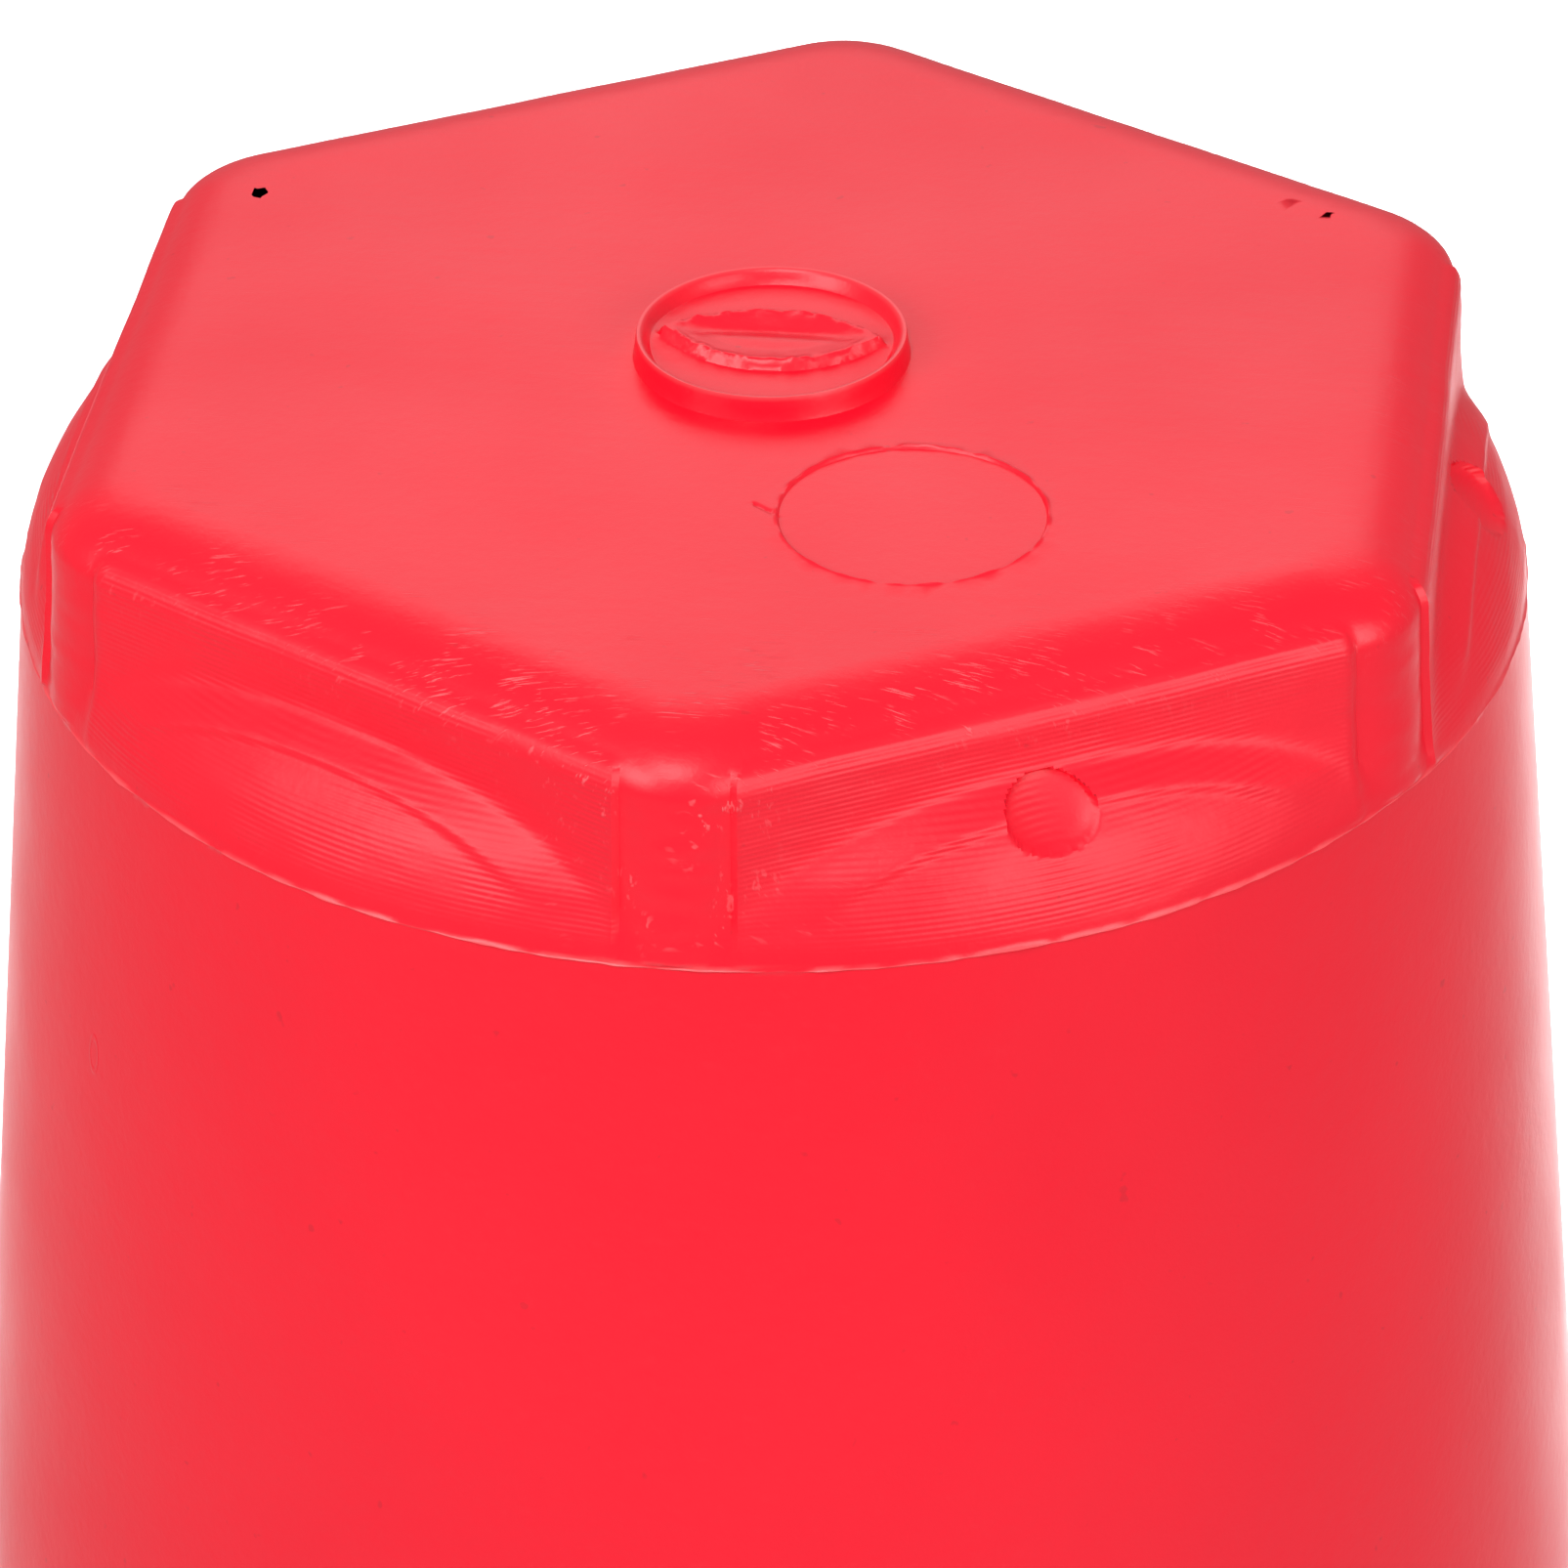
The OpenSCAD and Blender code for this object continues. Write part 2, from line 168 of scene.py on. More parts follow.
class BarrierFinish(bpy.types.PropertyGroup):
    """Colours and surface values of the barrier's materials."""

    red: FloatVectorProperty(
        name="Red", description="Colour of the moulded plastic",
        subtype="COLOR", size=3, default=(0.94, 0.003, 0.023),
    )
    red_rough: FloatProperty(
        name="Red roughness", description="Roughness of the moulded plastic", default=0.34,
    )
    black: FloatVectorProperty(
        name="Black", description="Colour of the caps and sleeves",
        subtype="COLOR", size=3, default=(0.018, 0.018, 0.02),
    )
    rubber: FloatVectorProperty(
        name="Rubber", description="Colour of seals and foot pads",
        subtype="COLOR", size=3, default=(0.02, 0.02, 0.021),
    )
    sheet: FloatVectorProperty(
        name="Sheeting", description="Colour of the reflective bands",
        subtype="COLOR", size=3, default=(0.78, 0.8, 0.82),
    )
    plug: FloatVectorProperty(
        name="Plug", description="Colour of the drain plug",
        subtype="COLOR", size=3, default=(0.85, 0.42, 0.015),
    )
    line_pitch: FloatProperty(
        name="Tool line pitch",
        description="Distance between machining lines, in millimetres", default=0.43,
    )


class BarrierStudio(bpy.types.PropertyGroup):
    """Camera, floor and lights."""

    azimuth: FloatProperty(name="Azimuth", description="Direction of the camera, in degrees", default=7.2)
    elevation: FloatProperty(
        name="Elevation", description="Height angle of the camera, in degrees", default=32.4,
    )
    roll: FloatProperty(
        name="Roll", description="Turn of the camera about its view, in radians", default=-0.009,
    )
    distance: FloatProperty(
        name="Distance", description="Camera distance, in metres", unit="LENGTH", default=0.6297,
    )
    lens: FloatProperty(name="Lens", description="Focal length, in millimetres", default=177.4)
    aim_drop: FloatProperty(
        name="Aim", description="Aim point below the shoulder, in metres", unit="LENGTH", default=0.0218,
    )
    aim_side: FloatProperty(
        name="Aim side",
        description="Aim point to the right of the axis, in metres", unit="LENGTH", default=0.00066,
    )
    floor_grey: FloatProperty(name="Floor", description="Brightness of the floor", default=0.74)
    sky: FloatProperty(name="Sky", description="Brightness of the surroundings", default=0.36)


def sizes():
    return bpy.context.scene.barrier_body


def head():
    return bpy.context.scene.barrier_head


def finish():
    return bpy.context.scene.barrier_finish


# ---------------------------------------------------------------- small maths


def step(low, high, x):
    """Smooth step from 0 at low to 1 at high."""
    t = min(max((x - low) / (high - low), 0.0), 1.0)
    return t * t * (3 - 2 * t)


def bump(x, width):
    """Bell curve of height 1 at x = 0."""
    return math.exp(-((x / width) ** 2))


def soft_max(a, b, k):
    return (a + b + math.sqrt((a - b) ** 2 + k * k)) / 2


def soft_min(a, b, k):
    return (a + b - math.sqrt((a - b) ** 2 + k * k)) / 2


def off_flat(azimuth):
    """Angle between azimuth and the nearest of six flats, the first of which faces +X."""
    sector = math.radians(60)
    return azimuth - sector * round(azimuth / sector)


def hex_radius(azimuth, apothem, corner_r):
    """Radius of a hexagon with rounded corners, in the direction azimuth."""
    delta = abs(off_flat(azimuth))
    straight = (apothem - corner_r) * math.tan(math.radians(30))
    if apothem * math.tan(delta) <= straight:
        return apothem / math.cos(delta)
    centre = (apothem - corner_r) / math.cos(math.radians(30))
    phi = math.radians(30) - delta
    return centre * math.cos(phi) + math.sqrt(corner_r**2 - (centre * math.sin(phi)) ** 2)


def wobble(x, y, z, scale):
    return noise.noise(Vector((x / scale, y / scale, z / scale)))


def on_circle(radius, azimuth, z):
    return (radius * math.cos(azimuth), radius * math.sin(azimuth), z)


# ---------------------------------------------------------------- mesh helpers


def new_object(name, vertices, faces, material=None):
    """Mesh object from points in millimetres."""
    mesh = bpy.data.meshes.new(name)
    mesh.from_pydata([tuple(c * MM for c in v) for v in vertices], [], faces)
    mesh.validate()
    obj = bpy.data.objects.new(name, mesh)
    bpy.context.scene.collection.objects.link(obj)
    if material:
        mesh.materials.append(material)
    return obj


def finish_mesh(obj, sharp_deg=32, merge=1e-6):
    """Merges doubles, points the faces outwards and smooths all but the sharp edges."""
    bm = bmesh.new()
    bm.from_mesh(obj.data)
    bmesh.ops.remove_doubles(bm, verts=bm.verts, dist=merge)
    bmesh.ops.recalc_face_normals(bm, faces=bm.faces)
    bm.to_mesh(obj.data)
    bm.free()
    obj.data.shade_smooth()
    obj.data.set_sharp_from_angle(angle=math.radians(sharp_deg))
    return obj


def ring_faces(rings, columns):
    """Quads between successive closed rings of equal size."""
    faces = []
    for i in range(rings - 1):
        a = i * columns
        b = a + columns
        for j in range(columns):
            k = (j + 1) % columns
            faces.append((a + j, a + k, b + k, b + j))
    return faces


def closed_tower(name, rings):
    """Closed solid from rings of equal size, with a fan at each end."""
    columns = len(rings[0])
    vertices = [p for ring in rings for p in ring]
    faces = ring_faces(len(rings), columns)
    low = len(vertices)
    high = low + 1
    for ring in (rings[0], rings[-1]):
        vertices.append(tuple(sum(p[i] for p in ring) / columns for i in range(3)))
    top = (len(rings) - 1) * columns
    for j in range(columns):
        k = (j + 1) % columns
        faces.append((low, k, j))
        faces.append((high, top + j, top + k))
    return finish_mesh(new_object(name, vertices, faces))


def rounded(points, steps=5):
    """Replaces each (r, z, radius) corner of an open or closed profile with an arc."""
    out = []
    count = len(points)
    for i, (r, z, radius) in enumerate(points):
        here = Vector((r, z))
        if radius <= 0 or i in (0, count - 1):
            out.append(here)
            continue
        before = Vector(points[i - 1][:2]) - here
        after = Vector(points[(i + 1) % count][:2]) - here
        angle = before.angle(after) / 2
        reach = radius / math.tan(angle)
        start = here + before.normalized() * reach
        end = here + after.normalized() * reach
        centre = here + (before.normalized() + after.normalized()).normalized() * radius / math.sin(angle)
        for k in range(steps + 1):
            out.append(centre + (start - centre).lerp(end - centre, k / steps).normalized() * radius)
    return out


def axis_matrix(origin, direction):
    """Matrix that puts local Z along direction, at origin in millimetres."""
    turn = Vector((0, 0, 1)).rotation_difference(Vector(direction)).to_matrix().to_4x4()
    return Matrix.Translation(Vector(origin) * MM) @ turn


def lathe(name, profile, origin, direction, material, segments=96):
    """Solid of revolution about local Z from a profile of (r, z, corner radius).

    The profile ends where it starts, or it starts and ends on the axis.
    """
    ring = rounded(profile)
    if (ring[0] - ring[-1]).length < 1e-6:
        ring = ring[:-1]
    count = len(ring)
    vertices = []
    faces = []
    for j in range(segments):
        vertices += [on_circle(p[0], TAU * j / segments, p[1]) for p in ring]
    for j in range(segments):
        a = j * count
        b = (j + 1) % segments * count
        for i in range(count):
            k = (i + 1) % count
            if max(ring[i][0], ring[k][0]) > 1e-6:
                faces.append((a + i, b + i, b + k, a + k))
    obj = new_object(name, vertices, faces, material)
    obj.data.transform(axis_matrix(origin, direction))
    return finish_mesh(obj)


def screw_ridge(name, root, height, pitch, turns, z0, widths, origin, direction, material):
    """Thread ridge that fades in and out at its ends; a negative height points inwards."""
    per_turn = 72
    count = int(per_turn * turns)
    vertices = []
    faces = []
    for i in range(count + 1):
        azimuth = TAU * i / per_turn
        grow = min(1.0, (i + 1) / 9, (count - i + 1) / 9)
        base = root - math.copysign(0.25, height)
        crest = root + height * grow
        z = z0 + pitch * i / per_turn
        for r, dz in ((base, -widths[0]), (base, widths[0]), (crest, widths[1]), (crest, -widths[1])):
            vertices.append(on_circle(r, azimuth, z + dz / 2))
    for i in range(count):
        for j in range(4):
            k = (j + 1) % 4
            faces.append((4 * i + j, 4 * i + k, 4 * i + 4 + k, 4 * i + 4 + j))
    faces += [(0, 1, 2, 3), tuple(4 * count + j for j in (3, 2, 1, 0))]
    obj = new_object(name, vertices, faces, material)
    obj.data.transform(axis_matrix(origin, direction))
    return finish_mesh(obj)


def joined(name, pieces):
    """Joins pieces into the first one and renames it."""
    bm = bmesh.new()
    for piece in pieces:
        bm.from_mesh(piece.data)
    target = pieces[0]
    bm.to_mesh(target.data)
    bm.free()
    for piece in pieces[1:]:
        bpy.data.objects.remove(piece)
    target.name = name
    target.data.name = name
    return target


def baked(obj):
    """Applies every modifier of obj to its mesh."""
    depsgraph = bpy.context.evaluated_depsgraph_get()
    mesh = bpy.data.meshes.new_from_object(obj.evaluated_get(depsgraph))
    obj.modifiers.clear()
    obj.data = mesh
    return obj


def boolean(obj, tool, operation):
    """Unites, cuts or intersects obj with tool, and removes tool."""
    modifier = obj.modifiers.new(operation, "BOOLEAN")
    modifier.operation = operation
    modifier.object = tool
    modifier.solver = "EXACT"
    bpy.context.view_layer.update()
    baked(obj)
    bpy.data.objects.remove(tool)
    return obj


# ---------------------------------------------------------------- moulded body


def shoulder_z():
    return HEAD_TOP - head().height


def column_r(z):
    """Outer radius of the column at height z."""
    return sizes().shoulder_r + (shoulder_z() - z) * math.tan(math.radians(sizes().taper))


def boss_face(z):
    return column_r(z) + sizes().boss_out


def foot_profile(inset):
    """Half-section from the bottom to the join, as (r, z) points, moved inwards by inset."""
    s = sizes()
    bottom = BODY_BOTTOM + inset
    corner_r = FOOT_CORNER - inset
    corner_z = BODY_BOTTOM + s.foot_corner_h
    top_r = column_r(s.foot_top)
    slope = math.atan2(s.foot_top - corner_z, FOOT_CORNER - top_r)
    taper = math.radians(s.taper)
    corner_z -= inset * math.tan((math.pi / 2 - slope) / 2)
    side_shift = inset / math.cos(taper)
    reach = FOOT_CORNER * math.sin(slope) + (BODY_BOTTOM + s.foot_corner_h) * math.cos(slope) - inset
    side = sizes().shoulder_r + shoulder_z() * math.tan(taper) - side_shift
    knee_z = (reach - side * math.sin(slope)) / (math.cos(slope) - math.tan(taper) * math.sin(slope))
    knee_r = side - knee_z * math.tan(taper)
    join_z = shoulder_z() - s.join_drop
    edge = max(s.edge_r - inset, 1.0)
    corners = [
        (0.0, bottom, 0), (corner_r, bottom, edge), (corner_r, corner_z, 10.0),
        (knee_r, knee_z, s.foot_fillet_r + inset), (column_r(join_z) - side_shift, join_z, 0),
    ]
    return rounded(corners, 9)


def thinned(points, longest):
    """Adds points along stretches that are longer than longest."""
    out = [points[0]]
    for a, b in zip(points, points[1:]):
        parts = max(1, math.ceil((b - a).length / longest))
        out += [a.lerp(b, k / parts) for k in range(1, parts + 1)]
    return out


def foot_ring(point, inset, columns):
    """Ring at a profile point: round, but cut to the hexagon's flats near the ground."""
    s = sizes()
    corner_r = FOOT_CORNER - inset
    near_ground = point.y < BODY_BOTTOM + inset + s.edge_r
    apothem = FOOT_APOTHEM - inset - (corner_r - point.x if near_ground else 0.0)
    ring = []
    for j in range(columns):
        azimuth = TAU * j / columns
        flat = apothem / math.cos(off_flat(azimuth))
        ring.append(on_circle(soft_min(flat, point.x, s.blend if point.x > 90 else 0.0), azimuth, point.y))
    return ring


def column_tower(name, inset, columns, bands):
    """Closed solid of the foot and the column below the join."""
    s = sizes()
    points = thinned(foot_profile(inset), 9.0)[1:]
    if bands:
        upright = s.foot_top + s.band_width / 2
        column = [p for p in points if p.y < upright]
        depth = 0.5
        for low in (s.band_lower, s.band_upper):
            high = low + s.band_width
            between = [low + s.band_width * k / 6 for k in range(7)]
            column.append(Vector((column_r(low), low)))
            column += [Vector((column_r(z) - depth, z)) for z in between]
            column.append(Vector((column_r(high), high)))
            column += [Vector((column_r(high + 15 * k), high + 15 * k)) for k in (1, 2, 3, 4, 5)]
        points = column + [p for p in points if p.y > column[-1].y + 4]
    return closed_tower(name, [foot_ring(p, inset, columns) for p in points])


def rod(r, length, origin, direction, edge=0.0):
    """Closed cylinder from origin along direction, with its far edge rounded."""
    profile = [(0.0, 0.0, 0), (r, 0.0, 0), (r, length, edge), (0.0, length, 0)]
    return lathe("rod", profile, origin, direction, None, 128)


def boss_rods(wall, edge):
    """The bosses that the filler and the sleeves pass through, or the hollows inside them."""
    s = sizes()
    filler_r, rail_r = FILLER_BOSS_R - wall, RAIL_BOSS_R - wall
    rods = [rod(filler_r, boss_face(s.filler) - wall, (0, 0, s.filler), (0, 1, 0), edge)]
    for z in (s.rail_upper, s.rail_lower):
        length = boss_face(z) - wall
        rods.append(rod(rail_r, length, (0, 0, z), (1, 0, 0), edge))
        rods.append(rod(rail_r, length, (0, 0, z), (-1, 0, 0), edge))
    return rods


def pad_places():
    """Centre of each foot pad, one under each corner."""
    return [on_circle(FOOT_APOTHEM - PAD_INSET, math.radians(30 + 60 * k), 0.0) for k in range(6)]


def drain_rod(margin):
    s = sizes()
    start = (-FOOT_APOTHEM - 4, 0, s.drain)
    return rod(DRAIN_RECESS_R + margin, s.drain_depth + margin + 4, start, (1, 0, 0))


def lower_body():
    """Foot and column: a hollow shell with bosses, bores, sockets and the drain's recess."""
    s = sizes()
    body = column_tower("lower_body", 0.0, 192, True)
    for boss in boss_rods(0.0, 2.5):
        boolean(body, boss, "UNION")
    cavity = column_tower("cavity", s.wall, 96, False)
    for hollow in boss_rods(s.wall, 0.0):
        boolean(cavity, hollow, "UNION")
    keep = [rod(STUD_BOSS_R, 18.0, (p[0], p[1], BODY_BOTTOM - 3), (0, 0, 1)) for p in pad_places()]
    boolean(cavity, joined("keep", keep), "DIFFERENCE")
    boolean(cavity, drain_rod(s.wall), "DIFFERENCE")
    boolean(body, cavity, "DIFFERENCE")
    boolean(body, drain_rod(0.0), "DIFFERENCE")
    cuts = [rod(STUD_R, 12.0, (p[0], p[1], BODY_BOTTOM - 3), (0, 0, 1)) for p in pad_places()]
    cuts.append(rod(NECK_TAIL_R, 60.0, (0, boss_face(s.filler) - 30, s.filler), (0, 1, 0)))
    cuts.append(rod(FITTING_TAIL_R, 30.0, (s.drain_depth - FOOT_APOTHEM - 3, 0, s.drain), (1, 0, 0)))
    for z in (s.rail_upper, s.rail_lower):
        cuts.append(rod(SLEEVE_HOLE_R, 400.0, (-200, 0, z), (1, 0, 0)))
    return boolean(body, joined("cuts", cuts), "DIFFERENCE")


def head_azimuths():
    """Column azimuths of the head's fine mesh, closer together at the two dimples."""
    h = head()
    coarse = [math.radians(0.5 * k) for k in range(-180, 540)]
    near = []
    for middle in (h.insert_azimuth - 1, 0.0):
        near += [math.radians(middle + 0.25 + 0.5 * k) for k in range(-10, 10)]
    return sorted(coarse + near)


def dimple_depth(azimuth, rise):
    """How deep the surface is pressed in by the nearer of the two dimples."""
    h = head()
    depth = 0.0
    for middle, shift in ((h.insert_azimuth, 1.5), (0.0, -0.3)):
        turn = math.remainder(azimuth - math.radians(middle), TAU)
        if abs(turn) > 0.2:
            continue
        side = 56.0 * math.sin(turn) + shift
        away = math.hypot(side, (rise - h.dimple_h) * 1.5) / h.dimple_r
        if away < 1:
            depth = h.dimple_depth * (1 - away**2) ** 0.45
    return depth


def pad_share(azimuth, soft=0.6):
    """1 on the pad of the nearest flat and 0 beside it; the pads lean towards the front corner."""
    lean = 0.8 * math.sin(2 * (azimuth + math.pi / 2)) if math.sin(azimuth) < 0 else 0.0
    along = head().apothem_top * math.tan(off_flat(azimuth)) + lean
    return 1 - step(head().pad_half - soft, head().pad_half, abs(along))


def ledge_out(over, rise):
    """Lip below the fold, where the curve stands out over the wall: a slope and then a sharp drop."""
    grow = min(max(over / 2.1, 0.0), 1.0)
    return head().ledge * grow * (1 - step(2.0, 2.8, over)) * step(3.0, 7.0, rise)


def head_radius(azimuth, rise):
    """Outer radius of the head at a height above the parting line."""
    h = head()
    z = shoulder_z() + rise
    tall = h.height - h.edge_d
    share = min(max(rise / tall, 0.0), 1.0)
    apothem = h.apothem_low + (h.apothem_top - h.apothem_low) * share
    middle = pad_share(azimuth)
    wall = hex_radius(azimuth, apothem, h.corner_r) + h.pad_rise * middle
    if rise <= 0:
        dome = column_r(z)
    else:
        centre = sizes().shoulder_r - math.sqrt(h.dome_r**2 - h.dome_drop**2)
        up = min(rise + h.dome_drop, h.dome_r)
        dome = centre + math.sqrt(h.dome_r**2 - up**2)
    pressed = dimple_depth(azimuth, rise)
    if pressed == 0:
        dome += ledge_out(dome - wall, rise)
    softness = 0.25 + 0.5 * middle
    radius = soft_max(dome, wall, softness) if rise > 0.3 else max(dome, min(wall, dome))
    x, y = math.cos(azimuth) * 60, math.sin(azimuth) * 60
    swell = 0.12 * wobble(x, y, rise * 2, 11) + 0.05 * wobble(x, y, rise * 3, 4)
    return radius + swell * step(0.4, 2.0, rise) - pressed


def flash_ring(azimuths, rise, out):
    """Ring of the thin ragged line left at the parting line."""
    ring = []
    for azimuth in azimuths:
        x, y = 60 * math.cos(azimuth), 60 * math.sin(azimuth)
        lift = 0.12 * wobble(x, y, 0, 9) + 0.07 * wobble(x, y, 5, 2.1)
        size = out * (0.7 + 0.9 * wobble(x, y, 9, 3.1) + 0.5 * wobble(x, y, 3, 1.3))
        radius = column_r(shoulder_z() + min(rise, 0)) + max(size, 0.0)
        ring.append(on_circle(radius, azimuth, shoulder_z() + rise + lift))
    return ring


def edge_ring(azimuths, share):
    """Ring on the quarter-ellipse edge between the head's walls and its top."""
    h = head()
    angle = share * math.pi / 2
    inward = h.edge_w * (1 - math.cos(angle))
    z = HEAD_TOP - h.edge_d * (1 - math.sin(angle))
    ring = []
    for azimuth in azimuths:
        base = head_radius(azimuth, h.height - h.edge_d)
        shrink = hex_radius(azimuth, h.apothem_top, h.corner_r)
        target = hex_radius(azimuth, h.apothem_top - inward, max(h.corner_r - inward * 0.2, 2.0))
        drop = h.pad_rise * pad_share(azimuth) * step(0.26, 0.36, share)
        ring.append(on_circle(base - shrink + target - drop, azimuth, z))
    return ring


def lens_depth(x, y):
    """Distance inside the outline of the pinched neck, which two arcs bound."""
    h = head()
    arc_r = (h.pinch_half**2 + h.pinch_width**2) / (2 * h.pinch_width)
    offset = arc_r - h.pinch_width
    ragged = 0.12 * wobble(x, y, 2, 2.3) + 0.05 * wobble(x, y, 7, 0.9)
    return arc_r - math.hypot(x, abs(y) + offset) + ragged


def pinch_height(x, y, rho):
    """Height inside the raised rim: a floor, and the welded lips around a boat-shaped hollow."""
    floor = 0.85 + 0.35 * bump(y, 3.5)
    inner_wall = step(9.5, 10.42, rho)
    depth = lens_depth(x, y)
    lip = 0.65 * step(-0.25, 0.25, depth)
    middle = 1 - step(5.5, 8.2, abs(x))
    hollow = (0.3 + 0.75 * step(-0.7, 2.3, y)) * step(0.4, 2.6, depth) * middle
    ridge = 0.25 * bump(depth - 0.45, 0.3) * (0.7 + wobble(x, y, 1, 1.1))
    tips = 0.3 * sum(bump(math.hypot(x - side * 8.2, y - 0.2 * side), 0.8) for side in (-1, 1))
    inside = floor + lip - hollow + ridge + tips
    return inside + (RIM_RISE - inside) * inner_wall


def top_height(x, y):
    """Height of the head's top surface at (x, y)."""
    h = head()
    rho = math.hypot(x, y)
    azimuth = math.radians(h.insert_azimuth)
    ix, iy = x - h.insert_at * math.cos(azimuth), y - h.insert_at * math.sin(azimuth)
    from_insert = math.hypot(ix, iy)
    z = HEAD_TOP - 0.02 + 0.05 * wobble(x, y, 0, 14) * (1 - step(38, 45, rho))
    z -= 0.16 * (1 - step(h.insert_r - 0.12, h.insert_r + 0.02, from_insert))
    z += 0.1 * bump(from_insert - h.insert_r - 0.12, 0.12) * (1 + 1.6 * wobble(x, y, 1, 1.3))
    tick = abs((ix + 11.2) * 0.6 + (iy + 0.4) * 0.8)
    if tick < 0.5 and math.hypot(ix + 11.2, iy + 0.4) < 1.3:
        z -= 0.14 * bump(tick, 0.2)
    if rho < h.rim_r + 0.7:
        outside = 1 - step(h.rim_r - 0.1, h.rim_r + 0.25, rho)
        crest = pinch_height(x, y, rho) if rho < 10.42 else RIM_RISE
        z += crest * outside
    return min(z, RIM_TOP - 0.01)


def circle_points(radius, count, centre=(0.0, 0.0)):
    turns = [TAU * k / count for k in range(count)]
    return [Vector((centre[0] + radius * math.cos(a), centre[1] + radius * math.sin(a))) for a in turns]


def lens_points(shrink, count):
    """Loop around the pinched neck, moved inwards by shrink."""
    h = head()
    arc_r = (h.pinch_half**2 + h.pinch_width**2) / (2 * h.pinch_width)
    offset = arc_r - h.pinch_width
    r = arc_r - shrink
    half = math.acos(min(offset / r, 1.0))
    loop = []
    for side in (1, -1):
        for k in range(count):
            angle = half - 2 * half * k / count
            loop.append(Vector((side * r * math.sin(-angle), side * (r * math.cos(angle) - offset))))
    return loop


def top_triangles(outline):
    """Triangles of the head's top inside outline, following its circles and the pinched neck."""
    h = head()
    azimuth = math.radians(h.insert_azimuth)
    middle = (h.insert_at * math.cos(azimuth), h.insert_at * math.sin(azimuth))
    loops = [[Vector(p[:2]) for p in outline]]
    rim_steps = (0.6, 0.25, 0.16, 0.08, 0.0, -0.1, -0.26, -0.4, -0.58, -0.76, -0.94, -1.12, -1.3)
    loops += [circle_points(h.rim_r + d, 216) for d in rim_steps]
    loops += [circle_points(h.insert_r + d, 180, middle) for d in (0.4, 0.22, 0.12, 0.02, -0.05, -0.12, -0.3)]
    loops += [lens_points(d, 60) for d in (-0.25, 0.02, 0.3, 0.7, 1.2, 1.7, 2.2, 2.7, 3.2)]
    points = [p for loop in loops for p in loop]
    edges = []
    start = 0
    for loop in loops:
        edges += [(start + k, start + (k + 1) % len(loop)) for k in range(len(loop))]
        start += len(loop)
    points += fill_points(middle)
    verts, _, faces, *_ = delaunay_2d_cdt(points, edges, [], 0, 1e-5)
    return verts, faces


def fill_points(middle):
    """Points that keep the triangles small between the loops."""
    out = []
    pitch = 1.6
    count = 34
    for i in range(-count, count + 1):
        for j in range(-count, count + 1):
            p = Vector(((i + 0.5 * (j % 2)) * pitch, j * pitch * 0.866))
            from_insert = abs((p - Vector(middle)).length - head().insert_r)
            clear = p.length > head().rim_r + 1.2 and from_insert > 0.8
            if clear and p.length < 55 and inside_top(p, 1.0):
                out.append(p)
    for i in range(-30, 31):
        for j in range(-30, 31):
            p = Vector((i * 0.34, j * 0.34))
            if p.length < 9.0 and -3.4 < lens_depth(p.x, p.y) < 9 and abs(p.y) < 8:
                out.append(p)
    tick_at = Vector((middle[0] - 11.2, middle[1] - 0.4))
    out += [tick_at + Vector((0.2 * i, 0.2 * j)) for i in range(-6, 7) for j in range(-6, 7)]
    return [p for p in out if abs((p - Vector(middle)).length - head().insert_r) > 0.45]


def inside_top(point, margin):
    h = head()
    azimuth = math.atan2(point.y, point.x)
    return point.length < hex_radius(azimuth, h.apothem_top - h.edge_w, 6.0) - margin


def zip_rings(bm, low, high):
    """Closes the gap between two rings of different counts, by azimuth."""
    def turn(v):
        return math.atan2(v.co.y, v.co.x) % TAU
    a = sorted(low, key=turn)
    b = sorted(high, key=turn)
    i = j = 0
    while i < len(a) or j < len(b):
        next_a = turn(a[i + 1]) if i + 1 < len(a) else TAU + turn(a[0])
        next_b = turn(b[j + 1]) if j + 1 < len(b) else TAU + turn(b[0])
        if j >= len(b) or (i < len(a) and next_a <= next_b):
            bm.faces.new((a[i], a[(i + 1) % len(a)], b[j % len(b)]))
            i += 1
        else:
            bm.faces.new((a[i % len(a)], b[(j + 1) % len(b)], b[j]))
            j += 1


def add_rings(bm, rings):
    """Adds a stack of equal rings, in millimetres, and returns its vertices ring by ring."""
    rows = [[bm.verts.new([c * MM for c in p]) for p in ring] for ring in rings]
    count = len(rows[0])
    for low, high in zip(rows, rows[1:]):
        for j in range(count):
            k = (j + 1) % count
            bm.faces.new((low[j], low[k], high[k], high[j]))
    return rows


def head_rings(azimuths):
    """Rings of the head's outside, from just above the join to the edge of its top."""
    h = head()
    z0 = shoulder_z()
    rings = []
    for drop in (2.0, 1.0, 0.5):
        rings.append([on_circle(column_r(z0 - drop), a, z0 - drop) for a in azimuths])
    for rise, out in ((-0.14, 0.0), (-0.08, 0.14), (0.0, 0.21), (0.09, 0.1)):
        rings.append(flash_ring(azimuths, rise, out))
    tall = h.height - h.edge_d
    rise = 0.42
    while rise < tall - 0.1:
        rings.append([on_circle(head_radius(a, rise), a, z0 + rise) for a in azimuths])
        rise += 0.22
    rings += [edge_ring(azimuths, k / 24) for k in range(25)]
    return rings


